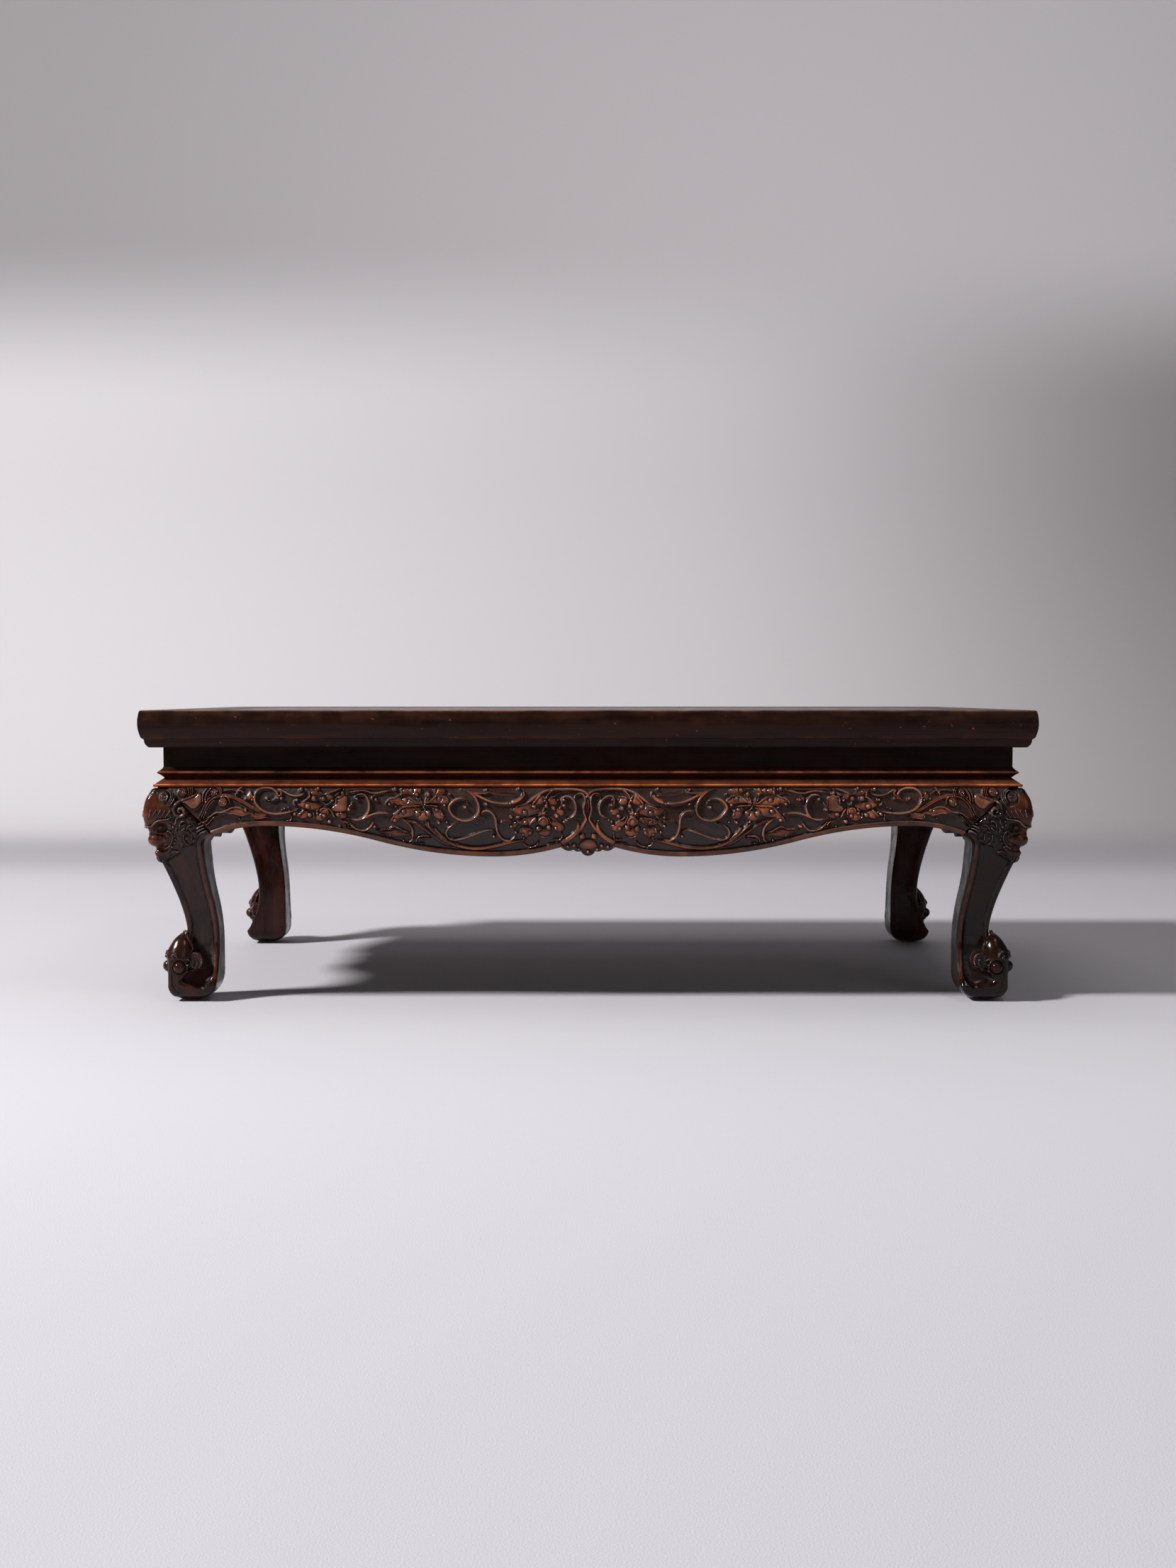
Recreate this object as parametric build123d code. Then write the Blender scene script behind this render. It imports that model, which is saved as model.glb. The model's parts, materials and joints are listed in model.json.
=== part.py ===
"""Waisted kang table with cabriole legs: a low hardwood table of twenty-five joined pieces.

Origin at the middle of the footprint on the floor, X along the table, Y across it, Z up, millimetres.
An "inset" is a distance inwards from the outermost edge of the top frame; a "run" is the overall
length of one side of the table.  Every piece of a side is drawn in that side's own frame: X along
the side from its middle, Y inwards from the outermost edge.
"""
from build123d import *
from math import acos, asin, atan2, cos, sin, sqrt
import os

# ---------------------------------------------------------------- driving sizes
length = 920.0                # over the top frame, along X
depth = 515.0                 # over the top frame, along Y

# the stack of horizontal members, from the floor up
shoulder_height = 225.2       # top of the legs' carved shoulders
band_height = 9.0             # bevelled band along the top of the aprons
moulding_height = 11.1        # torus moulding between apron and waist
waist_height = 20.5           # recessed waist board
frame_thickness = 38.2        # mitred top frame

# insets of the faces
frame_top_inset = 1.2         # the frame's upper edge leans in by this much
frame_foot_inset = 9.2        # bottom edge of the frame's receding lower curve
waist_inset = 21.3
moulding_tip_inset = 15.9
moulding_nose = 1.6           # height of the moulding's blunt tip
moulding_hollow = 0.6         # of its two slopes
band_top_inset = 22.0         # top edge of the apron's bevel
shoulder_inset = 12.5         # bottom edge of the bevel, and top of the carved face
knee_inset = 5.0              # fullest part of the knee
knee_radius = 68.0            # of the bulge, shared by legs and aprons
member_back_inset = 30.0      # common back plane of waist, moulding and apron, against the post

# frame and panel
rail_width = 64.0
post_width = 34.0             # square post on each leg, behind the members
post_root = 4.0               # the post runs this far below the mitre's foot
frame_edge_radius = 2.4
frame_swell_foot_inset = 1.9  # lower end of the edge's long swelling
frame_swell_foot_rise = 4.0   # and its height above the step
frame_step_drop = 29.6        # step in the frame's edge, below the top
frame_step_inset = 5.0
frame_step_lip = 1.1
frame_turn_bulge = 0.5        # of the edge where it turns under to the step
frame_hollow_bulge = 0.8      # of the receding curve under the step
groove_depth = 8.0            # groove of the rails for the panel's tongue
panel_play = 0.8              # left at the bottom of the groove, so that the panel can swell
tongue_thickness = 6.0
panel_thickness = 13.0
panel_recess = 0.4            # the panel lies this far below the frame
board_tongue = 5.0            # tongue that joins the two panel boards
board_tongue_thickness = 4.0
board_tongue_drop = 5.5       # underside of that tongue, above the panel's

# battens under the panel
batten_count = 3
batten_width = 28.0
batten_height = 20.0
batten_neck = 18.0            # dovetail at the panel's underside
batten_head = 24.0            # dovetail at its top
batten_dovetail = 5.0
batten_tenon_length = 12.0
batten_tenon_width = 18.0
batten_tenon_height = 12.0

# joints of the frame and the legs
corner_tenon_thickness = 12.0
corner_tenon_drop = 11.0      # top of the corner tenon, below the frame's top
corner_tenon_end = 18.0       # inset of the tenon's blind end
corner_tenon_outer = 20.0     # inset of the tenon's outer cheek
corner_tenon_inner = 52.0     # inset of its inner cheek
post_tenon_width = 12.0
post_tenon_near = 34.0        # inset of a post tenon along the rail it is closer to
post_tenon_far = 48.0         # and along the other rail
long_tenon_height = 22.0      # into the long rail
short_tenon_height = 14.0     # into the short rail, under the corner tenon
waist_tongue_height = 3.0
waist_tongue_near = 24.0
waist_tongue_far = 27.5
mitre_start_inset = 26.0      # the shoulder's 45 degree mitre starts here, at shoulder height
mitre_foot_inset = 71.5       # and ends here, on the inner edge of the leg
key_inset = 52.0              # middle of the hanging dovetail key, along the side
key_neck = 10.0
key_head = 14.0
key_projection = 7.0
key_height = 39.0             # from its foot in the shoulder to its top
key_top_below_apron = 5.0
fit_clearance = 0.2           # round tenons, tongues and keys

# legs
ankle_height = 64.0           # where the outer face is furthest in
ankle_inset = 39.6
ankle_width = 33.0
shin_radius = 150.0           # hollow of the outer face above the ankle
calf_inset = 61.5             # inner face under the apron, where it is furthest out
calf_height = 165.0
inner_ankle_height = 55.0
toe_inset = 22.2
toe_radius = 17.0
heel_radius = 23.0
bead_width = 4.5              # bead along the inner edge of the legs and the foot of the aprons
arris_band_width = 5.0        # plain band along the outer arris of the legs
field_depth = 1.2             # the field lies this far below the beads
field_top = 148.0             # the leg's sunk field ends here, under the knee's mask

# foot carving
scroll_width = 22.0           # square block of the turned-up toe
scroll_height = 49.0
scroll_corner_radius = 4.0
bud_radius = 13.3
bud_inset = 32.0
bud_base_height = 44.0
bud_tip_inset = 37.0
bud_tip_height = 71.3
pearl_radius = 7.4
pearl_inset = 34.8
pearl_height = 36.0
pearl_projection = 9.0        # from the toe's face to the front of the pearl
collar_radius = 8.6
collar_projection = 3.0
ear_radius = 10.0
ear_inset = 50.5
ear_height = 43.0
ear_face_inset = 29.5
ear_root = 2.0                # the lobe runs this far into the ankle

# aprons
apron_foot_inset = 12.8       # the face's lower edge, under the bulge
arch_rise = 185.6             # underside at the top of the arch beside each leg
arch_drop = 153.3             # lowest point of the underside
arch_rise_share = 0.148       # the arch's top, as a share of the way from the mitre to the cusp
arch_drop_share = 0.807       # its lowest point, likewise
cusp_height = 163.3
cusp_half_width = 27.5
pendant_drop = 153.7
apron_field_drop = 2.0        # the sunk field starts this far below the bevel

# ---------------------------------------------------------------- heights that follow
apron_top = shoulder_height + band_height
moulding_top = apron_top + moulding_height
frame_bottom = moulding_top + waist_height
height = frame_bottom + frame_thickness
panel_top = height - panel_recess
panel_bottom = panel_top - panel_thickness
post_end_inset = member_back_inset + post_width
mitre_foot_height = shoulder_height - (mitre_foot_inset - mitre_start_inset)
key_top = apron_top - key_top_below_apron
corner_tenon_top = height - corner_tenon_drop
corner_tenon_bottom = corner_tenon_top - corner_tenon_thickness


# side view of the bulge and the shin: two circles, and below a straight stretch between them
knee_fall = knee_radius - (shoulder_inset - knee_inset)
knee_centre = (knee_inset + knee_radius, shoulder_height - sqrt(knee_radius**2 - knee_fall**2))
shin_centre = (ankle_inset - shin_radius, ankle_height)


# ---------------------------------------------------------------- shared geometry
def straight_between_circles():
    """Ends of the line that leaves the knee's circle and joins the shin's on its other side."""
    along = shin_centre[0] - knee_centre[0]
    down = shin_centre[1] - knee_centre[1]
    distance = sqrt(along**2 + down**2)
    angle = atan2(down, along) - acos((knee_radius + shin_radius) / distance)
    x, z = cos(angle), sin(angle)
    on_knee = (knee_centre[0] + knee_radius * x, knee_centre[1] + knee_radius * z)
    on_shin = (shin_centre[0] - shin_radius * x, shin_centre[1] - shin_radius * z)
    return on_knee, on_shin


def knee_edge():
    """The bulge, shared by the leg and by the apron that meets it at the mitre."""
    knee_end = straight_between_circles()[0]
    return ThreePointArc((shoulder_inset, shoulder_height), (knee_inset, knee_centre[1]), knee_end)


def run_of_section(section, run):
    """Extrudes a section, drawn as (inset, height), along a whole side."""
    start = Plane(origin=(-run / 2, 0, 0), x_dir=(0, 1, 0), z_dir=(1, 0, 0))
    return extrude(start * section, amount=run)


def mitre_prism(run, inner):
    """The space of one side between its two 45 degree corner mitres."""
    half = run / 2
    corners = [(-half, 0), (half, 0), (half - inner, inner), (-half + inner, inner)]
    return extrude(make_face(Polyline(*corners, close=True)), amount=height)


def mitred_member(section, run, inner):
    return run_of_section(section, run) & mitre_prism(run, inner)


def block(x_range, y_range, z_range):
    """A box given by its two ends along each axis."""
    size = [end - start for start, end in (x_range, y_range, z_range)]
    middle = [(start + end) / 2 for start, end in (x_range, y_range, z_range)]
    return Pos(*middle) * Box(*size)


def at_both_ends(solid):
    return [solid, mirror(solid, about=Plane.YZ)]


def on_side(member, side):
    """Moves a member from its side's own frame to its place on the table."""
    turn = {"front": 0, "right": 90, "back": 180, "left": 270}[side]
    distance = depth if side in ("front", "back") else length
    return Rot(0, 0, turn) * Pos(0, -distance / 2, 0) * member


# ---------------------------------------------------------------- top frame
def frame_section():
    """Rail with a swelling edge over a receding curve, grooved for the panel and for the waist."""
    step_height = height - frame_step_drop
    groove_bottom = panel_bottom - fit_clearance
    groove_top = panel_bottom + tongue_thickness + fit_clearance
    slot_near = waist_tongue_near - fit_clearance
    slot_far = waist_tongue_far + fit_clearance
    slot_top = frame_bottom + waist_tongue_height + fit_clearance
    swell_top = (frame_top_inset, height - frame_edge_radius)
    swell_foot = (frame_swell_foot_inset, step_height + frame_swell_foot_rise)
    step = (frame_step_inset, step_height)
    hollow_top = (frame_step_inset + frame_step_lip / 3, step_height - frame_step_lip)
    edge = [
        RadiusArc((frame_top_inset + frame_edge_radius, height), swell_top, frame_edge_radius),
        ThreePointArc(swell_top, (0, (swell_top[1] + swell_foot[1]) / 2), swell_foot),
        SagittaArc(swell_foot, step, -frame_turn_bulge),
        Line(step, hollow_top),
        SagittaArc(hollow_top, (frame_foot_inset, frame_bottom), -frame_hollow_bulge),
    ]
    inside = Polyline(
        (frame_foot_inset, frame_bottom),
        (slot_near, frame_bottom),
        (slot_near, slot_top),
        (slot_far, slot_top),
        (slot_far, frame_bottom),
        (rail_width, frame_bottom),
        (rail_width, groove_bottom),
        (rail_width - groove_depth, groove_bottom),
        (rail_width - groove_depth, groove_top),
        (rail_width, groove_top),
        (rail_width, height),
        (frame_top_inset + frame_edge_radius, height),
    )
    return make_face(Curve() + edge + [inside])


def corner_tenon(run, on_long_rail, clearance=0.0):
    """Tenon of a long rail past its mitre, or the room for it in the short rail, at the left end."""
    end = corner_tenon_end - clearance
    outer = corner_tenon_outer - clearance
    inner = corner_tenon_inner + clearance
    outline = [(end, outer), (outer, outer), (inner, inner), (end, inner)]
    if not on_long_rail:
        outline = [(across, along) for along, across in outline]
    face = Pos(-run / 2, 0, corner_tenon_bottom - clearance) * make_face(Polyline(*outline, close=True))
    return extrude(face, amount=corner_tenon_thickness + 2 * clearance)


def post_mortise(run, tenon_height):
    """Hole in a rail's underside for a leg's tenon, at the left end."""
    near, far, grown = post_tenon_near, post_tenon_far, post_tenon_width + fit_clearance
    along = (-run / 2 + far - fit_clearance, -run / 2 + far + grown)
    across = (near - fit_clearance, near + grown)
    return block(along, across, (frame_bottom, frame_bottom + tenon_height + fit_clearance))


def batten_places():
    """Middles of the battens along the table, evenly spaced between the short rails."""
    clear = length - 2 * rail_width
    return [-clear / 2 + clear * (n + 0.5) / batten_count for n in range(batten_count)]


def long_rail():
    rail = mitred_member(frame_section(), length, rail_width)
    rail += at_both_ends(corner_tenon(length, True))
    rail -= at_both_ends(post_mortise(length, long_tenon_height))
    for place in batten_places():
        half = batten_tenon_width / 2 + fit_clearance
        low = panel_bottom - batten_height + (batten_height - batten_tenon_height) / 2
        rail -= block(
            (place - half, place + half),
            (rail_width - batten_tenon_length - fit_clearance, rail_width),
            (low - fit_clearance, low + batten_tenon_height + fit_clearance),
        )
    return rail


def short_rail():
    rail = mitred_member(frame_section(), depth, rail_width)
    rail -= at_both_ends(post_mortise(depth, short_tenon_height))
    rail -= at_both_ends(corner_tenon(depth, False, fit_clearance))
    return rail


# ---------------------------------------------------------------- panel and battens
def dovetail_way(place, clearance=0.0):
    """Dovetail of a batten in the panel's underside, across the table."""
    neck = batten_neck / 2 + clearance
    head = batten_head / 2 + clearance
    top = panel_bottom + batten_dovetail + clearance
    outline = [(-neck, panel_bottom), (neck, panel_bottom), (head, top), (-head, top)]
    across = depth - 2 * rail_width
    end = Plane(origin=(place, across / 2, 0), x_dir=(1, 0, 0), z_dir=(0, -1, 0))
    return extrude(end * make_face(Polyline(*outline, close=True)), amount=across)


def panel_board(is_front):
    """Half of the floating panel: a tongue all round in the frame, and one along the joint."""
    half_length = length / 2 - rail_width
    half_depth = depth / 2 - rail_width
    reach = groove_depth - panel_play
    upper = block(
        (-half_length + fit_clearance, half_length - fit_clearance),
        (-half_depth + fit_clearance, 0),
        (panel_bottom, panel_top),
    )
    board = upper + block(
        (-half_length - reach, half_length + reach),
        (-half_depth - reach, 0),
        (panel_bottom, panel_bottom + tongue_thickness),
    )
    joint_low = panel_bottom + board_tongue_drop
    joint_high = joint_low + board_tongue_thickness
    if is_front:
        board += block((-half_length, half_length), (0, board_tongue), (joint_low, joint_high))
    else:
        board = mirror(board, about=Plane.XZ)
        board -= block(
            (-half_length - groove_depth, half_length + groove_depth),
            (0, board_tongue + fit_clearance),
            (joint_low - fit_clearance, joint_high + fit_clearance),
        )
    for place in batten_places():
        board -= dovetail_way(place, fit_clearance)
    return board


def batten(place):
    """Transverse batten that keeps the panel flat: dovetailed into it, tenoned into the long rails."""
    half_depth = depth / 2 - rail_width
    low = panel_bottom - batten_height
    tenon_low = low + (batten_height - batten_tenon_height) / 2
    body = block(
        (place - batten_width / 2, place + batten_width / 2),
        (-half_depth, half_depth),
        (low, panel_bottom),
    )
    tenon = block(
        (place - batten_tenon_width / 2, place + batten_tenon_width / 2),
        (-half_depth - batten_tenon_length, half_depth + batten_tenon_length),
        (tenon_low, tenon_low + batten_tenon_height),
    )
    return body + tenon + dovetail_way(place)


# ---------------------------------------------------------------- waist and moulding
def waist_board(run):
    outline = [
        (waist_inset, moulding_top),
        (member_back_inset, moulding_top),
        (member_back_inset, frame_bottom),
        (waist_tongue_far, frame_bottom),
        (waist_tongue_far, frame_bottom + waist_tongue_height),
        (waist_tongue_near, frame_bottom + waist_tongue_height),
        (waist_tongue_near, frame_bottom),
        (waist_inset, frame_bottom),
    ]
    return mitred_member(make_face(Polyline(*outline, close=True)), run, member_back_inset)


def torus_moulding(run):
    """Pointed moulding with two hollow slopes, on which the waist stands."""
    nose = moulding_nose / 2
    tip_height = apron_top + moulding_height / 2
    upper_tip = (moulding_tip_inset, tip_height + nose)
    lower_tip = (moulding_tip_inset, tip_height - nose)
    face = make_face(
        Curve()
        + [
            SagittaArc((waist_inset, moulding_top), upper_tip, moulding_hollow),
            Line(upper_tip, lower_tip),
            SagittaArc(lower_tip, (band_top_inset, apron_top), moulding_hollow),
            Polyline(
                (band_top_inset, apron_top),
                (member_back_inset, apron_top),
                (member_back_inset, moulding_top),
                (waist_inset, moulding_top),
            ),
        ]
    )
    return mitred_member(face, run, member_back_inset)


# ---------------------------------------------------------------- aprons
def apron_section():
    """Bevelled band over a bulging face, with a flat back."""
    bottom = min(arch_drop, pendant_drop) - bead_width
    knee_end, shin_end = straight_between_circles()
    down_the_leg = (shin_end[0] - knee_end[0], shin_end[1] - knee_end[1])
    lower_face = TangentArc(knee_end, (apron_foot_inset, bottom), tangent=down_the_leg)
    back = Polyline(
        (apron_foot_inset, bottom),
        (member_back_inset, bottom),
        (member_back_inset, apron_top),
        (band_top_inset, apron_top),
        (shoulder_inset, shoulder_height),
    )
    return make_face(Curve() + [knee_edge(), lower_face, back])


def pendant_point(across, down, lift):
    """A point on the left of the pendant, by its shares of the half width and of the drop from the cusp."""
    drop = cusp_height - pendant_drop
    return (-across * cusp_half_width, cusp_height - down * drop + lift)


def arch_edges(run, lift=0.0):
    """Underside of an apron from the left mitre to the right one: two long arches and a lobed pendant."""
    start = -run / 2 + mitre_foot_inset
    reach = -cusp_half_width - start
    foot = (start, mitre_foot_height + lift)
    crown = (start + arch_rise_share * reach, arch_rise + lift)
    dip = (start + arch_drop_share * reach, arch_drop + lift)
    middle_of_slope = ((crown[0] + dip[0]) / 2, (crown[1] + dip[1]) / 2)
    cusp = (-cusp_half_width, cusp_height + lift)
    outer_lobe = pendant_point(0.545, 0.34, lift)
    inner_lobe = pendant_point(0.27, 0.49, lift)
    left = [
        TangentArc(crown, foot, tangent=(-1, 0)),
        TangentArc(crown, middle_of_slope, tangent=(1, 0)),
        TangentArc(dip, middle_of_slope, tangent=(-1, 0)),
        TangentArc(dip, cusp, tangent=(1, 0)),
        ThreePointArc(cusp, pendant_point(0.76, 0.48, lift), outer_lobe),
        ThreePointArc(outer_lobe, pendant_point(0.42, 0.55, lift), inner_lobe),
    ]
    right = [mirror(edge, about=Plane.YZ) for edge in left]
    middle = ThreePointArc(inner_lobe, (0, pendant_drop + lift), (-inner_lobe[0], inner_lobe[1]))
    return left + [middle] + right


def apron_outline(run):
    """Face of an apron: the arched underside, the shoulder mitres, and the band out to the corners."""
    left = -run / 2
    mitre_foot = left + mitre_foot_inset
    upper = Polyline(
        (mitre_foot, mitre_foot_height),
        (left + mitre_start_inset, shoulder_height),
        (left, shoulder_height),
        (left, apron_top),
        (-left, apron_top),
        (-left, shoulder_height),
        (-left - mitre_start_inset, shoulder_height),
        (-mitre_foot, mitre_foot_height),
    )
    return make_face(Curve() + arch_edges(run) + [upper])


def field_outline(run):
    """The sunk ground of the carving, between the lower bead and the bevel."""
    left = -run / 2
    mitre_foot = left + mitre_foot_inset
    top = shoulder_height - apron_field_drop
    upper = Polyline(
        (mitre_foot, mitre_foot_height + bead_width),
        (left, mitre_foot_height + bead_width),
        (left, top),
        (-left, top),
        (-left, mitre_foot_height + bead_width),
        (-mitre_foot, mitre_foot_height + bead_width),
    )
    return make_face(Curve() + arch_edges(run, bead_width) + [upper])


def through(face):
    """Extrudes a face that is drawn as (along the side, height) through the whole member."""
    front = Plane(origin=(0, 0, 0), x_dir=(1, 0, 0), z_dir=(0, -1, 0))
    return extrude(front * face, amount=-member_back_inset)


def dovetail_key(clearance=0.0):
    """Hanging key on the outer face of a post, in the corner's frame, wider away from the post."""
    neck = key_neck / 2 + clearance
    head = key_head / 2 + clearance
    outer = member_back_inset - key_projection - clearance
    outline = [
        (key_inset - neck, member_back_inset),
        (key_inset - head, outer),
        (key_inset + head, outer),
        (key_inset + neck, member_back_inset),
    ]
    foot = key_top - key_height
    face = Pos(0, 0, foot) * make_face(Polyline(*outline, close=True))
    return extrude(face, amount=key_height + clearance)


def apron(run):
    board = run_of_section(apron_section(), run) & through(apron_outline(run))
    board &= mitre_prism(run, member_back_inset)
    skin = apron_section() - Pos(field_depth, 0) * apron_section()
    board -= run_of_section(skin, run) & through(field_outline(run))
    board -= at_both_ends(Pos(-run / 2, 0, 0) * dovetail_key(fit_clearance))
    return board


# ---------------------------------------------------------------- legs
def leg_outline():
    """A leg seen square on: knee, ankle, foot, and the shoulder cut back at the mitre."""
    knee_end, shin_end = straight_between_circles()
    inner_inset = ankle_inset + ankle_width
    ankle = (ankle_inset, ankle_height)
    toe = (toe_inset, toe_radius)
    sole_start = (toe_inset + toe_radius, 0)
    sole_end = (inner_inset - heel_radius, 0)
    heel = (inner_inset, heel_radius)
    inner_ankle = (inner_inset, inner_ankle_height)
    calf = (calf_inset, calf_height)
    middle_of_calf = ((inner_inset + calf_inset) / 2, (inner_ankle_height + calf_height) / 2)
    mitre_foot = (mitre_foot_inset, mitre_foot_height)
    edges = [
        knee_edge(),
        Line(knee_end, shin_end),
        TangentArc(ankle, shin_end, tangent=(0, 1)),
        TangentArc(ankle, toe, tangent=(0, -1)),
        TangentArc(toe, sole_start, tangent=(0, -1)),
        Line(sole_start, sole_end),
        TangentArc(sole_end, heel, tangent=(1, 0)),
        Line(heel, inner_ankle),
        TangentArc(inner_ankle, middle_of_calf, tangent=(0, 1)),
        TangentArc(calf, middle_of_calf, tangent=(0, -1)),
        TangentArc(calf, mitre_foot, tangent=(0, 1)),
        Polyline(mitre_foot, (mitre_start_inset, shoulder_height), (shoulder_inset, shoulder_height)),
    ]
    return make_face(Curve() + edges)


def along_x(face):
    """Extrudes a leg's face, drawn as (inset, height), along X through the corner."""
    end = Plane(origin=(0, 0, 0), x_dir=(0, 1, 0), z_dir=(1, 0, 0))
    return extrude(end * face, amount=mitre_foot_inset + bead_width)


def along_y(face):
    """The same along Y."""
    front = Plane(origin=(0, 0, 0), x_dir=(1, 0, 0), z_dir=(0, -1, 0))
    return extrude(front * face, amount=-mitre_foot_inset - bead_width)


def swap_sides(solid):
    """Mirrors a solid over the diagonal plane of the corner."""
    return mirror(solid, about=Plane(origin=(0, 0, 0), x_dir=(0, 0, 1), z_dir=(1, -1, 0)))


def on_both_faces(solid):
    return [solid, swap_sides(solid)]


def sunk_field():
    """Shallow field between the arris band and the inner bead, on the front face of a leg."""
    outline = leg_outline()
    field_foot = toe_radius + bead_width
    outer_half = ankle_inset + ankle_width / 2
    skin = outline - Pos(field_depth, 0) * outline
    skin &= Pos(outer_half / 2, (field_top + field_foot) / 2) * Rectangle(outer_half, field_top - field_foot)
    region = (Pos(arris_band_width, 0) * outline) & (Pos(-bead_width, 0) * outline)
    return along_x(skin) & along_y(region)


def toe_scroll():
    """The turned-up toe: a rounded block under a pointed bud."""
    span = (toe_inset, toe_inset + scroll_width)
    lump = block(span, span, (toe_radius, scroll_height))
    outer_corner = lump.edges().filter_by(Axis.Z).sort_by_distance((0, 0, scroll_height / 2))[0]
    return fillet(outer_corner, scroll_corner_radius)


def bud():
    """Pointed bud, a ball drawn out into a cone, leaning from the toe to its tip against the ankle."""
    base = Vector(bud_inset, bud_inset, bud_base_height)
    tip = Vector(bud_tip_inset, bud_tip_inset, bud_tip_height)
    rise = (tip - base).length
    lean = asin(bud_radius / rise)
    halfway = (bud_radius * cos(lean / 2), bud_radius * sin(lean / 2))
    cone_foot = (bud_radius * cos(lean), bud_radius * sin(lean))
    side = ThreePointArc((bud_radius, 0), halfway, cone_foot)
    half = make_face(Curve() + [side, Polyline(cone_foot, (0, rise), (0, 0), (bud_radius, 0))])
    axis_plane = Plane(origin=base, x_dir=(1, -1, 0), z_dir=(tip - base).cross(Vector(1, -1, 0)) * -1)
    return revolve(axis_plane * half, axis=Axis(base, tip - base))


def pearl():
    """Pearl in its collar on the front face of the toe."""
    centre = toe_inset - pearl_projection + pearl_radius
    ball = Pos(pearl_inset, centre, pearl_height) * Sphere(pearl_radius)
    near = toe_inset - collar_projection
    far = toe_inset + collar_projection
    return ball + disc_facing_front(collar_radius, pearl_inset, pearl_height, near, far)


def disc_facing_front(radius, inset, middle_height, near, far):
    """A disc between two insets from the front."""
    disc = Rot(90, 0, 0) * Cylinder(radius, far - near)
    return Pos(inset, (near + far) / 2, middle_height) * disc


def ear():
    """Round lobe beside the bud, in front of the ankle."""
    return disc_facing_front(ear_radius, ear_inset, ear_height, ear_face_inset, ankle_inset + ear_root)


def leg():
    """Leg of the front left corner, in the corner's frame: X and Y are both insets."""
    outline = leg_outline()
    body = along_x(outline) & along_y(outline)
    body -= on_both_faces(sunk_field())
    post_foot = mitre_foot_height - post_root
    span = (member_back_inset, post_end_inset)
    body += block(span, span, (post_foot, frame_bottom))
    near = (post_tenon_near, post_tenon_near + post_tenon_width)
    far = (post_tenon_far, post_tenon_far + post_tenon_width)
    body += block(far, near, (frame_bottom, frame_bottom + long_tenon_height))
    body += block(near, far, (frame_bottom, frame_bottom + short_tenon_height))
    body += on_both_faces(dovetail_key())
    body += toe_scroll()
    body += bud()
    body += on_both_faces(pearl())
    body += on_both_faces(ear())
    return body


# ---------------------------------------------------------------- assembly
def all_pieces():
    pieces = {
        "top_rail_front": on_side(long_rail(), "front"),
        "top_rail_back": on_side(long_rail(), "back"),
        "top_rail_left": on_side(short_rail(), "left"),
        "top_rail_right": on_side(short_rail(), "right"),
        "panel_board_front": panel_board(True),
        "panel_board_back": panel_board(False),
    }
    for number, place in enumerate(batten_places(), start=1):
        pieces[f"batten_{number}"] = batten(place)
    for side, run in (("front", length), ("back", length), ("left", depth), ("right", depth)):
        pieces[f"waist_board_{side}"] = on_side(waist_board(run), side)
        pieces[f"torus_moulding_{side}"] = on_side(torus_moulding(run), side)
        pieces[f"apron_{side}"] = on_side(apron(run), side)
    front_left = Pos(-length / 2, -depth / 2, 0) * leg()
    back_left = mirror(front_left, about=Plane.XZ)
    pieces["leg_front_left"] = front_left
    pieces["leg_front_right"] = mirror(front_left, about=Plane.YZ)
    pieces["leg_back_left"] = back_left
    pieces["leg_back_right"] = mirror(back_left, about=Plane.YZ)
    return pieces


os.makedirs("parts", exist_ok=True)
for name, piece in all_pieces().items():
    export_step(piece, f"parts/{name}.step")
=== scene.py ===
import json
import math

import bpy
import numpy as np
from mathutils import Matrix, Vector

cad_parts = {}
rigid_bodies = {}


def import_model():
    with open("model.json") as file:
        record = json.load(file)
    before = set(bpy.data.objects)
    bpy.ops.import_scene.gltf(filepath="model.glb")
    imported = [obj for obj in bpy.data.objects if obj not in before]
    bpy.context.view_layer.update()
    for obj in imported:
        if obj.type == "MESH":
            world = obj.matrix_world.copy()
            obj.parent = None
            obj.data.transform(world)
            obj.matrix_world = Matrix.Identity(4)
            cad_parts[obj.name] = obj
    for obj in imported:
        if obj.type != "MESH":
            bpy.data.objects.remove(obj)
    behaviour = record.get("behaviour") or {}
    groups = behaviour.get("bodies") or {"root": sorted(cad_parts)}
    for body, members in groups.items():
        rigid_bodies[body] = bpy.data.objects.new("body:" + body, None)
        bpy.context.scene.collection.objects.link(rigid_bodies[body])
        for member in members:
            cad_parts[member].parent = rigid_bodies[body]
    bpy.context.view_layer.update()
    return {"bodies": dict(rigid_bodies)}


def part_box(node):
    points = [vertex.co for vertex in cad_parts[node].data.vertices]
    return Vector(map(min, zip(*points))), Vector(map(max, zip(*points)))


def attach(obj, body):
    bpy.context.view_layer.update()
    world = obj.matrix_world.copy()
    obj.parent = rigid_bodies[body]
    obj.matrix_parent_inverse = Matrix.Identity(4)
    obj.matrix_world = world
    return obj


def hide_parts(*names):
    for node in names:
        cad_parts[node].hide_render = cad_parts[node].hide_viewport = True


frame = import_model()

import openvdb as vdb
from mathutils import Vector

MM = 0.001

# ---------------------------------------------------------------- sizes, in millimetres
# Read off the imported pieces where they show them; insets are distances inwards from the frame's edge.


def node_box(name):
    low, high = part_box(name)
    return [c / MM for c in low], [c / MM for c in high]


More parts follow.
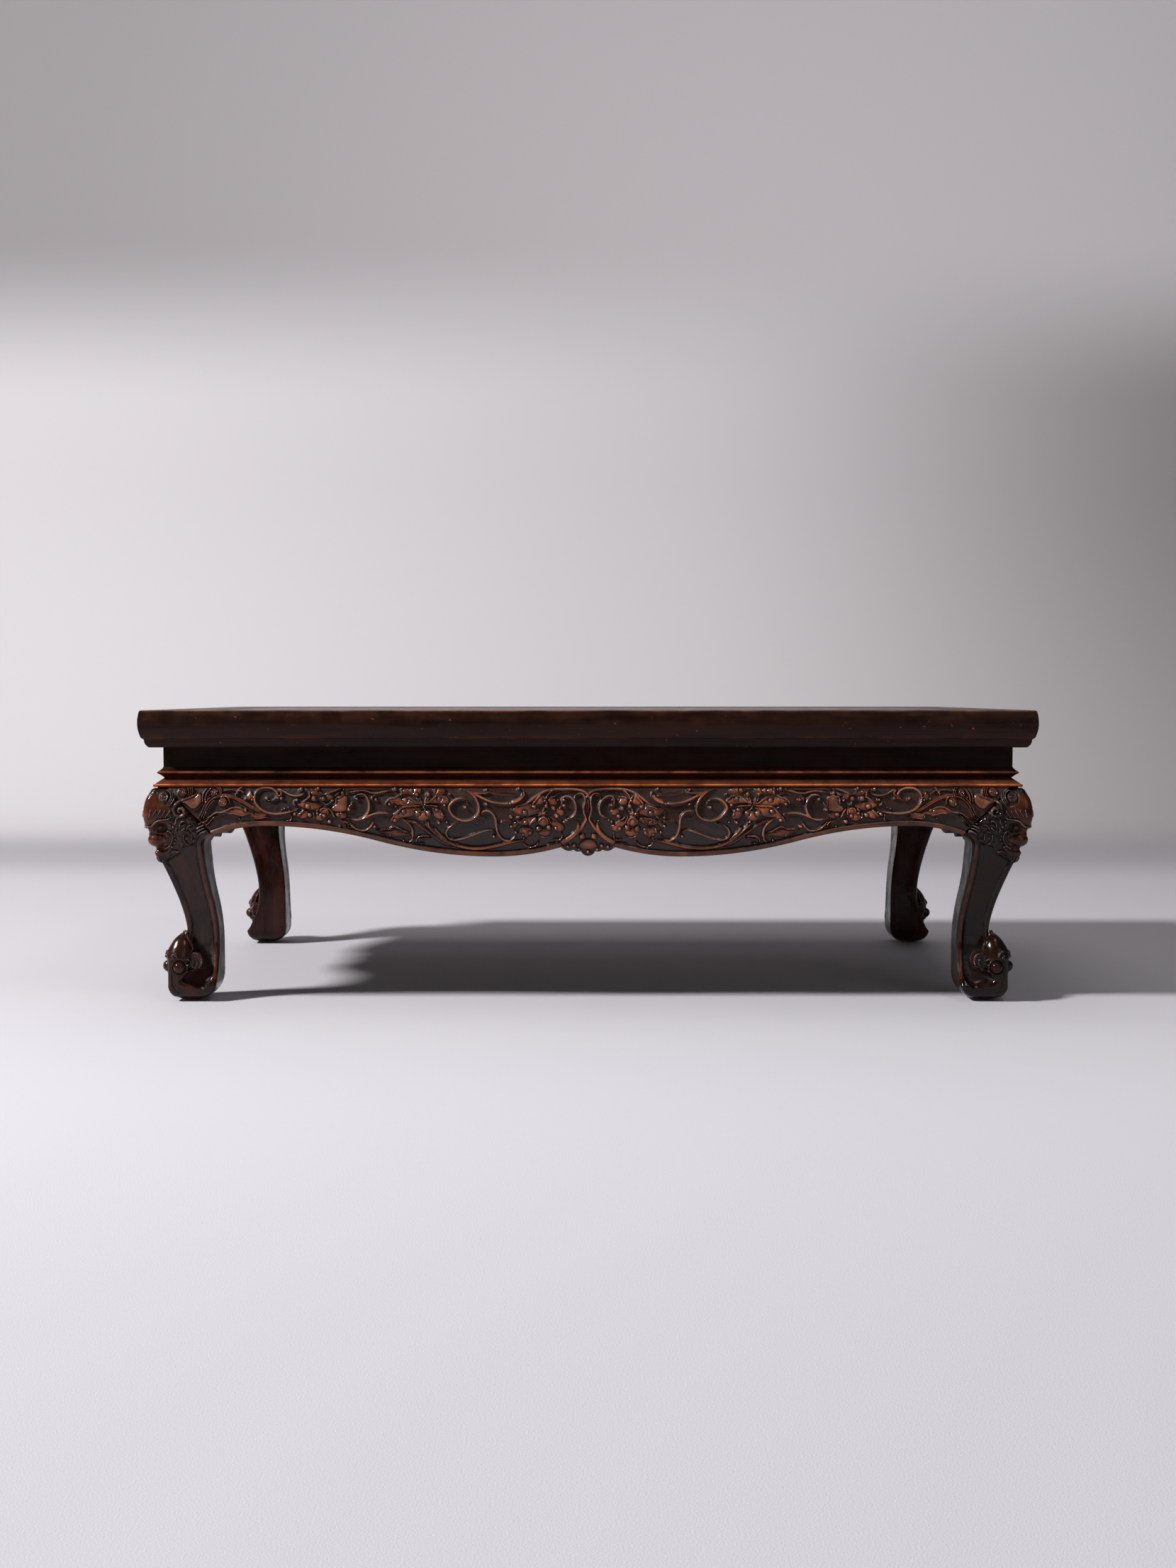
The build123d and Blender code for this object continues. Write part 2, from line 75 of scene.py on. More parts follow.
RAIL_LOW, RAIL_HIGH = node_box("top_rail_front")
LENGTH = RAIL_HIGH[0] - RAIL_LOW[0]
DEPTH = -2 * RAIL_LOW[1]
HEIGHT = RAIL_HIGH[2]
FRAME_BOTTOM = RAIL_LOW[2]
RAIL_WIDTH = RAIL_HIGH[1] - RAIL_LOW[1]
MOULDING_LOW, MOULDING_HIGH = node_box("torus_moulding_front")
APRON_TOP = MOULDING_LOW[2]
MOULDING_TOP = MOULDING_HIGH[2]
MOULDING_TIP = MOULDING_LOW[1] + DEPTH / 2
MEMBER_BACK = MOULDING_HIGH[1] + DEPTH / 2
WAIST_INSET = node_box("waist_board_front")[0][1] + DEPTH / 2
PANEL_TOP = node_box("panel_board_front")[1][2]
PANEL_BOTTOM = node_box("panel_board_front")[0][2]
SHOULDER_HEIGHT = 225.2
BAND_TOP_INSET = 22.0
MITRE_START = 26.0
MITRE_FOOT = 75.3
MITRE_FOOT_HEIGHT = SHOULDER_HEIGHT - (MITRE_FOOT - MITRE_START)
MITRE_GAP = 0.12
BOARD_GAP = 0.12
PANEL_GAP = 0.2

BODY = list(frame["bodies"])[0]
# Each side's turn from the front in degrees, its run, the distance to the side opposite, and its grain.
SIDES = {
    "front": (0, LENGTH, DEPTH, "x"),
    "right": (90, DEPTH, LENGTH, "y"),
    "back": (180, LENGTH, DEPTH, "x"),
    "left": (270, DEPTH, LENGTH, "y"),
}


# ---------------------------------------------------------------- meshes
FAR = 1e3
NOISE_TABLE = 64


def smoothstep(low, high, x):
    t = np.clip((x - low) / (high - low), 0.0, 1.0)
    return t * t * (3 - 2 * t)


def mesh_piece(name, points, faces, material, nodes, attributes=None, sharp_angle=None):
    """A piece from points in millimetres, riding on the one rigid body."""
    mesh = bpy.data.meshes.new(name)
    mesh.from_pydata(np.asarray(points) * MM, [], faces, shade_flat=False)
    mesh.update()
    for key, values in (attributes or {}).items():
        layer = mesh.attributes.new(key, "FLOAT", "POINT")
        layer.data.foreach_set("value", np.asarray(values, np.float32).ravel())
    if sharp_angle:
        mesh.set_sharp_from_angle(angle=math.radians(sharp_angle))
    piece = bpy.data.objects.new(name, mesh)
    bpy.context.scene.collection.objects.link(piece)
    piece.data.materials.append(material)
    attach(piece, BODY)
    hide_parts(*nodes)
    return piece


def ring_faces(columns, rows):
    """Faces of a section of `rows` points, drawn down its outer face, over `columns` stations."""
    c = np.arange(columns - 1)[:, None] * rows
    r = np.arange(rows)[None, :]
    n = (r + 1) % rows
    quads = np.stack([c + r, c + n, c + rows + n, c + rows + r], axis=-1).reshape(-1, 4)
    faces = quads.tolist()
    faces.append(list(range(rows))[::-1])
    faces.append(list(range((columns - 1) * rows, columns * rows)))
    return faces


def split_along_creases(faces, heights):
    """Triangles from quads, each cut along the diagonal whose ends differ less in height."""
    quads = np.array([face for face in faces if len(face) == 4])
    h = heights[quads]
    turned = np.abs(h[:, 0] - h[:, 2]) > np.abs(h[:, 1] - h[:, 3])
    quads = np.where(turned[:, None], np.roll(quads, -1, axis=1), quads)
    triangles = np.vstack([quads[:, [0, 1, 2]], quads[:, [0, 2, 3]]]).tolist()
    return triangles + [face for face in faces if len(face) > 4]


def turn_to_side(points, side):
    """From a side's own frame (X along it, Y inwards from its outer edge) to the table."""
    degrees, _, distance, _ = SIDES[side]
    angle = math.radians(degrees)
    x, y, z = points[..., 0], points[..., 1] - distance / 2, points[..., 2]
    turned = [x * math.cos(angle) - y * math.sin(angle), x * math.sin(angle) + y * math.cos(angle), z]
    return np.stack(turned, axis=-1)


def lattice_noise(x, y, seed):
    """Smooth noise between -1 and 1 with features about one unit wide."""
    table = np.random.default_rng(seed).uniform(-1, 1, (NOISE_TABLE, NOISE_TABLE))
    ix, iy = np.floor(x).astype(int), np.floor(y).astype(int)
    fx, fy = smoothstep(0, 1, x - ix), smoothstep(0, 1, y - iy)
    a, b, c, d = [table[(ix + i) % NOISE_TABLE, (iy + j) % NOISE_TABLE] for j in (0, 1) for i in (0, 1)]
    return (a * (1 - fx) + b * fx) * (1 - fy) + (c * (1 - fx) + d * fx) * fy


def box_average(field, n):
    """A field averaged over squares or cubes of 2n + 1 cells."""
    for axis in range(field.ndim):
        pad = [(n + 1, n) if a == axis else (0, 0) for a in range(field.ndim)]
        total = np.cumsum(np.pad(field, pad, mode="edge"), axis=axis, dtype=np.float64)
        size = field.shape[axis]
        ahead = np.take(total, np.arange(2 * n + 1, 2 * n + 1 + size), axis=axis)
        behind = np.take(total, np.arange(size), axis=axis)
        field = ((ahead - behind) / (2 * n + 1)).astype(field.dtype)
    return field


def arc(start, through, end, count):
    """Points on the circle through three points, without the last one."""
    (ax, ay), (bx, by), (cx, cy) = start, through, end
    d = 2 * (ax * (by - cy) + bx * (cy - ay) + cx * (ay - by))
    a_square, b_square, c_square = ax**2 + ay**2, bx**2 + by**2, cx**2 + cy**2
    ux = (a_square * (by - cy) + b_square * (cy - ay) + c_square * (ay - by)) / d
    uy = (a_square * (cx - bx) + b_square * (ax - cx) + c_square * (bx - ax)) / d
    radius = math.hypot(ax - ux, ay - uy)
    a0, a1, a2 = (math.atan2(p[1] - uy, p[0] - ux) for p in (start, through, end))
    sweep = (a2 - a0) % (2 * math.pi)
    if (a1 - a0) % (2 * math.pi) > sweep:
        sweep -= 2 * math.pi
    angles = a0 + sweep * np.arange(count) / count
    return [(ux + radius * math.cos(a), uy + radius * math.sin(a)) for a in angles]


def level_arc(level, other, count=40):
    """Points on the circle that leaves `level` horizontally and ends at `other`."""
    (x0, z0), (x1, z1) = level, other
    radius = ((x1 - x0) ** 2 + (z1 - z0) ** 2) / (2 * (z1 - z0))
    x = np.linspace(x0, x1, count)
    z = z0 + radius - math.copysign(1, radius) * np.sqrt(radius**2 - (x - x0) ** 2)
    return list(zip(x, z))


def upright_arc(upright, other, count=30):
    """Points on the circle that leaves `upright` vertically and ends at `other`."""
    return [(x, z) for z, x in level_arc(upright[::-1], other[::-1], count)]


def ring_part(x, z, radius, start, end, count=12):
    """Points along part of a circle, between two directions in degrees."""
    angles = np.radians(np.linspace(start, end, count))
    return np.stack([x + radius * np.cos(angles), z + radius * np.sin(angles)], axis=1)


def straight(start, end, count):
    """Points on a line, without the last one."""
    t = np.arange(count)[:, None] / count
    return [tuple(p) for p in np.array(start) * (1 - t) + np.array(end) * t]


def catmull(points, spacing=0.9, closed=False):
    """A smooth line through the given points, sampled every `spacing` millimetres or so."""
    p = np.asarray(points, float)
    if len(p) < 3 and not closed:
        count = max(2, int(np.linalg.norm(p[-1] - p[0]) / spacing))
        t = np.linspace(0, 1, count)[:, None]
        return p[0] * (1 - t) + p[-1] * t
    if closed:
        p = np.vstack([p[-1], p, p[0], p[1]])
    else:
        p = np.vstack([2 * p[0] - p[1], p, 2 * p[-1] - p[-2]])
    line = []
    for a, b, c, d in zip(p[:-3], p[1:-2], p[2:-1], p[3:]):
        count = max(2, int(math.ceil(np.linalg.norm(c - b) / spacing)))
        t = (np.arange(count) / count)[:, None]
        curve = 2 * b + (c - a) * t + (2 * a - 5 * b + 4 * c - d) * t**2 + (3 * b - a - 3 * c + d) * t**3
        line.append(0.5 * curve)
    line.append(p[-2][None])
    return np.vstack(line)


def inside_of(line, x, z):
    """Whether points lie inside a closed line."""
    inside = np.zeros(x.shape, bool)
    for a, b in zip(line, np.roll(line, -1, axis=0)):
        if a[1] != b[1]:
            crosses = (a[1] > z) != (b[1] > z)
            inside ^= crosses & (x < a[0] + (z - a[1]) * (b[0] - a[0]) / (b[1] - a[1]))
    return inside


def distance_to(line, x, z):
    """Distance from points to a closed line, and whether they lie inside it."""
    nearest = np.full(x.shape, FAR)
    for a, b in zip(line, np.roll(line, -1, axis=0)):
        step = b - a
        size = step @ step
        if size > 0:
            t = np.clip(((x - a[0]) * step[0] + (z - a[1]) * step[1]) / size, 0, 1)
            nearest = np.minimum(nearest, np.hypot(x - a[0] - t * step[0], z - a[1] - t * step[1]))
    return nearest, inside_of(line, x, z)


# ---------------------------------------------------------------- carving tools
class Relief:
    """Heights of a carving above its ground, in millimetres, on a fine raster of a face."""

    cell = 0.3
    moat_width = 1.0
    margin = 1.2
    tapering = 0.18
    knob_ring = 0.6
    knob_ring_width = 0.13

    def __init__(self, low, high):
        self.origin = np.array(low, float)
        counts = np.ceil((np.array(high) - self.origin) / self.cell).astype(int) + 1
        self.height = np.zeros(counts, np.float32)

    def window(self, points, reach):
        """The part of the raster around some points: its slices and the places of its cells."""
        low = np.floor((points.min(0) - reach - self.origin) / self.cell).astype(int)
        high = np.ceil((points.max(0) + reach - self.origin) / self.cell).astype(int) + 1
        low, high = [np.clip(corner, 0, self.height.shape) for corner in (low, high)]
        axes = [self.origin[i] + self.cell * np.arange(low[i], high[i]) for i in (0, 1)]
        gx, gz = np.meshgrid(*axes, indexing="ij")
        return (slice(low[0], high[0]), slice(low[1], high[1])), gx, gz

    def near(self, line, reach):
        """Cells near a line: their distance to it, the side they lie on and their share of its length."""
        window, gx, gz = self.window(line, reach)
        distance = np.full(gx.shape, FAR)
        side = np.zeros(gx.shape)
        share = np.zeros(gx.shape)
        if not distance.size:
            return window, distance, side, share
        steps = np.linalg.norm(np.diff(line, axis=0), axis=1)
        travelled = np.concatenate([[0], np.cumsum(steps)])
        corner = np.array([gx[0, 0], gz[0, 0]])
        for n, step in enumerate(steps):
            a, b = line[n], line[n + 1]
            first = ((np.minimum(a, b) - reach - corner) / self.cell).astype(int)
            last = ((np.maximum(a, b) + reach - corner) / self.cell).astype(int) + 2
            part = tuple(slice(max(0, i), max(0, j)) for i, j in zip(first, last))
            dx, dz = gx[part] - a[0], gz[part] - a[1]
            ux, uz = (b - a) / max(step, 1e-9)
            t = np.clip(dx * ux + dz * uz, 0, step)
            d = np.hypot(dx - t * ux, dz - t * uz)
            closer = d < distance[part]
            distance[part] = np.where(closer, d, distance[part])
            side[part] = np.where(closer, dx * uz - dz * ux, side[part])
            share[part] = np.where(closer, (travelled[n] + t) / travelled[-1], share[part])
        return window, distance, side, share

    def ridge(self, points, width=1.5, height=3.0, ends=(0.45, 0.45), lines=1, moat=0.7):
        """A rounded vine, `width` from its middle to its edge, in a dip where it crosses a petal."""
        window, distance, side, share = self.near(catmull(points), width + self.margin)
        taper = ends[0] + (1 - ends[0]) * smoothstep(0, self.tapering, share)
        taper *= ends[1] + (1 - ends[1]) * smoothstep(0, self.tapering, 1 - share)
        r = distance / (width * taper)
        shape = np.sqrt(np.clip(1 - r * r, 0, 1))
        if lines > 1:
            phase = np.clip(side / (width * taper), -1, 1) * math.pi * lines
            shape *= 1 - 0.2 * (1 + np.cos(phase + (lines % 2) * math.pi)) * (r < 0.95)
        h = self.height[window]
        dip = 1 - smoothstep(0, self.moat_width, distance - width * taper)
        h -= np.where(r > 1, np.minimum(moat * dip, 0.5 * h), 0)
        np.maximum(h, height * (0.55 + 0.45 * taper) * shape, out=h)

    def ridges(self, drawn, moat=0.7):
        for width, height, line in drawn:
            self.ridge(line, width, height, moat=moat)

    def mass(self, points, height=2.1, edge=1.7, dome=0.25):
        """A petal or leaf: a raised patch with rounded edges, swelling a little towards its middle."""
        line = catmull(points, closed=True)
        reach = 0.5 + max(np.ptp(line, axis=0)) / 2
        window, distance, _, _ = self.near(line, reach)
        _, gx, gz = self.window(line, reach)
        depth = np.where(inside_of(line, gx, gz), distance, 0)
        rise = np.sqrt(np.clip(1 - (1 - np.clip(depth / edge, 0, 1)) ** 2, 0, 1))
        h = self.height[window]
        np.maximum(h, height * rise + dome * np.clip(depth - edge, 0, 3), out=h)

    def petals(self, drawing):
        for outline in drawing["petals"]:
            self.mass(outline)

    def knob(self, x, z, radius, height=3.3):
        """The rolled end of a scroll: a small dome inside a raised ring."""
        window, gx, gz = self.window(np.array([[x, z]], float), radius + self.margin)
        d = np.hypot(gx - x, gz - z)
        r = d / radius
        dome = np.sqrt(np.clip(1 - r * r, 0, 1))
        ring = np.exp(-(((r - self.knob_ring) / self.knob_ring_width) ** 2)) if radius > 2 else 0
        h = self.height[window]
        dip = 1 - smoothstep(0, self.moat_width, d - radius)
        h -= np.where(r > 1, np.minimum(0.9 * dip, 0.6 * h), 0)
        raised = height * dome - 0.75 * ring
        np.copyto(h, np.where(r < 1, np.maximum(raised, 0.35 * h), h))

    def knobs(self, drawn, height=3.3):
        for x, z, radius in drawn:
            self.knob(x, z, radius, height)

    def whorl(self, x, z, radius, spacing=1.7, height=2.6, turn=0.0):
        """A curl of hair: fine ridges winding into a low dome."""
        window, gx, gz = self.window(np.array([[x, z]], float), radius + self.margin)
        dx, dz = gx - x, gz - z
        d = np.hypot(dx, dz)
        angle = np.arctan2(dz, dx) + math.radians(turn)
        rings = 0.5 + 0.5 * np.cos(2 * math.pi * d / spacing - angle)
        dome = np.sqrt(np.clip(1 - (d / radius) ** 2, 0, 1))
        edge = smoothstep(0, 0.9, radius - d)
        h = self.height[window]
        raised = edge * (height * (0.35 + 0.25 * dome) + 1.25 * rings)
        np.copyto(h, np.where(d < radius, np.maximum(raised, 0.2 * h), h))

    def groove(self, points, width=0.5, depth=0.8):
        """A fine cut that fades towards its ends."""
        window, distance, _, share = self.near(catmull(points), 3 * width)
        fade = smoothstep(0, 0.15, share) * smoothstep(0, 0.15, 1 - share)
        self.height[window] -= depth * fade * np.exp(-((distance / width) ** 2))

    def flower(self, drawing):
        """The veins and knobs of a flower whose petals are there already."""
        self.ridges(drawing["ridges"])
        if drawing["fan"]:
            x, z, tips = drawing["fan"]
            for tip in tips:
                self.ridge([(x, z), tip], 0.75, 3.5, (0.5, 0.9), moat=0.4)
        self.knobs(drawing["knobs"])

    def blurred(self, radius):
        """The heights averaged over a square, to tell hollows from high points."""
        return box_average(self.height.astype(float), max(1, int(radius / self.cell)))

    def read(self, raster, x, z):
        """Heights, or another raster of the same cells, at points of the face."""
        return sample(raster, self.origin, self.cell, x, z)


def sample(raster, origin, cell, x, z):
    """Bilinear reading of a raster at points."""
    u = np.clip((x - origin[0]) / cell, 0, raster.shape[0] - 1.001)
    v = np.clip((z - origin[1]) / cell, 0, raster.shape[1] - 1.001)
    i, j = u.astype(int), v.astype(int)
    a, b = u - i, v - j
    top = raster[i, j] * (1 - a) + raster[i + 1, j] * a
    return top * (1 - b) + (raster[i, j + 1] * (1 - a) + raster[i + 1, j + 1] * a) * b


# ---------------------------------------------------------------- the carving of a long apron, left half
# Drawn as (x from the middle, height) as the front shows it; the right half mirrors it.
# A ridge is (half its width, how far it stands out, line) and a knob is (x, height, radius).  Petals and
# the ear are closed outlines.  A fan is (x, height, tips of its veins), a whorl is (x, height, radius,
# turn) and rings are (x, height, radii, first direction, last direction).
TOP_VINES = [
    (1.7, 3, [(-71, 205.5), (-63, 207.5), (-57, 211), (-52, 214.7), (-46, 218.6), (-40, 221.4),
        (-33, 222.8), (-24, 223), (-14, 222.9), (-6, 221.8), (-0.5, 219.3), (3, 215.5), (5, 211),
        (6, 205)]),
    (1, 3, [(-41.5, 212), (-40, 216), (-37, 219.5), (-33.5, 222)]),
    (0.7, 2, [(-33, 214.5), (-29, 218.6), (-23, 220.3), (-14, 220.2), (-6, 219.2)]),
    (1.2, 3.1, [(-11.3, 213.5), (-10.3, 217), (-6, 218.6), (-2, 216.2), (-0.8, 210), (-2, 203), (-1, 197),
        (0.6, 192), (-1.6, 188), (-5, 184), (-8.5, 180)]),
    (1, 2.6, [(2.4, 213), (3.2, 207), (3.4, 201)]),
    (1.3, 3.2, [(-26.5, 203.5), (-25, 206), (-24.7, 211.5), (-23.3, 215), (-18.5, 215.7), (-13.8, 213),
        (-10.8, 208.5), (-9.8, 202.5), (-11.3, 197.3), (-15, 194.2), (-20.5, 192.6)]),
    (1.8, 3, [(-36, 166.5), (-28, 168), (-20.5, 171.2), (-14.5, 175.5), (-9.6, 180.5), (-7.6, 186),
        (-8.6, 190.8)]),
    (2.3, 2.7, [(-165, 190), (-158, 182), (-150, 174), (-142, 168.2), (-131, 164), (-118, 161.9),
        (-105, 162.5), (-92, 165), (-80, 168), (-70, 169.6), (-62, 171.3)]),
    (1.4, 3.1, [(-107.5, 194.5), (-108, 198), (-105, 200.8), (-100, 200.8), (-95.5, 197.5), (-92.8, 192),
        (-92, 184), (-90.5, 178), (-87, 172.8), (-82, 170.2), (-78, 170.6), (-73.3, 174.4)]),
    (1, 2.6, [(-89.5, 187), (-86.5, 190), (-81.5, 191), (-77.5, 190), (-74.5, 187.8)]),
    (1.4, 3, [(-131, 188.6), (-137.5, 186.5), (-142.5, 182.5), (-144.3, 178), (-142.5, 173.5),
        (-138, 171.2), (-132, 171.3), (-124, 173.3), (-114, 177), (-105, 180.2), (-99, 181.3), (-95, 180),
        (-93, 177)]),
    (1.7, 3.1, [(-129, 223.5), (-121, 220), (-114.5, 214.5), (-110.8, 207.5), (-110.3, 200.5),
        (-113, 195.3), (-118.5, 191.8), (-126, 190.7), (-133, 192.8), (-138.5, 197.5), (-141.5, 203.5),
        (-139, 208.7), (-134, 212.2), (-128, 213.4), (-123, 211.5), (-121, 208)]),
    (1.7, 3, [(-121, 221.5), (-113, 217), (-105, 213), (-97, 210), (-88, 208.6), (-80, 208.3), (-72, 210),
        (-66.5, 213.5), (-63.6, 217.5), (-64.5, 221)]),
    (0.9, 2.6, [(-77, 210.5), (-70, 212.8), (-66.3, 216), (-66, 219.5)]),
    (1.1, 2.8, [(-117, 219.3), (-110, 218.6), (-104, 218.7), (-100.2, 220), (-99.7, 222.3)]),
    (1.8, 1.5, [(-99, 220.3), (-88, 219), (-78, 218), (-70, 216.5)]),
]
CENTRE_STEM = [(-37, 165.4), (-30, 165.4), (-24.5, 167.2), (-19, 170.4), (-13.5, 174.4), (-8.8, 178.9),
    (-4.8, 183.2), (-1.8, 187.8), (-0.2, 192.6)]
FLOWER_A = {
    "petals": [
        [(-54.5, 204), (-52.5, 209), (-49.5, 214), (-46, 217.5), (-43.8, 214), (-42.3, 210.5), (-44, 207.5),
            (-49, 206.5)],
        [(-39.3, 213), (-35, 215), (-30.5, 213), (-29, 208.5), (-33, 206.2), (-37.8, 208)],
        [(-31.5, 202.5), (-27, 203.3), (-22, 201), (-22, 196.5), (-26, 195.3), (-30, 198)],
        [(-39, 189.5), (-32, 191), (-25.5, 188), (-21.5, 184.5), (-23.5, 180), (-30, 178.8), (-32, 183),
            (-36, 186)],
        [(-50.5, 180.5), (-48, 176), (-43, 173.8), (-38, 175.3), (-35, 179.5), (-38, 182.5), (-46, 182.5)],
        [(-68.5, 183), (-67.5, 176.5), (-63, 173.3), (-57, 174.7), (-53.8, 179), (-56, 183), (-62, 184.5)],
        [(-74, 202.5), (-67, 205.5), (-58, 208.2), (-51, 203.5), (-49.5, 198.5), (-55, 195.8), (-62, 194.3),
            (-68.5, 195.8), (-73, 199)],
        [(-71.5, 190), (-66, 192.6), (-59, 194.3), (-52, 195), (-50, 191), (-56, 186.8), (-61, 185.3),
            (-67.5, 186)],
        [(-77.5, 200.5), (-74, 204), (-70, 204.5), (-66.5, 201.5), (-69, 198), (-73, 198.8)],
        [(-78, 184.5), (-75, 188.5), (-71, 190.5), (-70, 187), (-73, 183)],
        [(-49, 193), (-44.5, 198), (-40, 193), (-39.5, 187), (-44, 184.5), (-49, 187)],
    ],
    "ridges": [
        (1, 3.4, [(-56, 204), (-54, 208.8), (-50, 213.2), (-45.3, 218)]),
        (1, 3.4, [(-39.6, 204.5), (-40.5, 209), (-42, 213), (-44.8, 216.5)]),
        (0.9, 3.2, [(-38.5, 213), (-35.2, 215), (-30.5, 215.5)]),
        (0.9, 3.4, [(-49.6, 187.5), (-48.6, 191), (-44.6, 194.2), (-40.6, 192.5), (-38.9, 188.5),
            (-40.3, 185.3)]),
        (0.8, 3.1, [(-39.5, 195), (-37.2, 191.2), (-35.6, 187)]),
        (0.8, 3.1, [(-37, 195), (-33.5, 192.2), (-29.5, 191)]),
        (1, 3.4, [(-59, 186), (-55.5, 190), (-51.3, 194.6)]),
        (1, 3.3, [(-71.5, 192.8), (-67.8, 195.8)]),
        (0.8, 3.2, [(-67.6, 183.2), (-68.6, 177)]),
        (0.8, 2.9, [(-50.3, 180), (-47.2, 175.3), (-42, 173.4), (-37.5, 174.8)]),
        (0.8, 2.6, [(-77, 203), (-72.5, 198.8), (-68, 196.5)]),
        (1.1, 3, [(-65.3, 170), (-64.3, 167), (-61.3, 164.4), (-57, 163.4), (-52.5, 164.6), (-49.5, 167.3),
            (-48.3, 170.3)]),
        (0.9, 2.9, [(-33.5, 172), (-30, 170.9), (-26.5, 171.2), (-24.6, 173.5), (-24.2, 178.3)]),
        (0.9, 2.4, [(-46, 163), (-38, 164.9), (-30.5, 167.4)]),
        (0.8, 3.2, [(-24.5, 190), (-22, 187.5)]),
    ],
    "fan": (-45.6, 197.3, [(-50.3, 202.3), (-42.9, 203.4), (-40.8, 200.4), (-41.5, 197.8), (-49.8, 198.6),
        (-49.6, 195.8)]),
    "knobs": [(-53.3, 204.6, 2.7), (-41, 205.4, 2.7), (-33.3, 203.2, 2.8), (-29, 212, 1.3),
        (-29.7, 195, 2.8), (-22.2, 206.3, 2.4), (-30.4, 182.6, 2.6), (-22, 189.6, 2.2), (-19.4, 191.2, 1.5),
        (-48.8, 182.6, 3.3), (-38, 183.6, 3.1), (-57.5, 178.2, 3), (-72.8, 178.6, 2.1), (-65, 176.6, 1.8),
        (-62.8, 199, 3.2), (-62.4, 188.6, 3.1), (-77, 184.8, 1.9), (-76.6, 194, 2.3), (-42.2, 210.9, 1.4),
        (-95, 174.6, 1.9), (-102.6, 207.6, 1.8), (-78, 208.2, 1.5), (-124.3, 204.2, 1.9), (-69.8, 223, 1.9),
        (-103, 222.2, 2.1), (-64.5, 173, 1.4), (-59.5, 162.6, 1.3), (-22.8, 212, 1.6)],
}
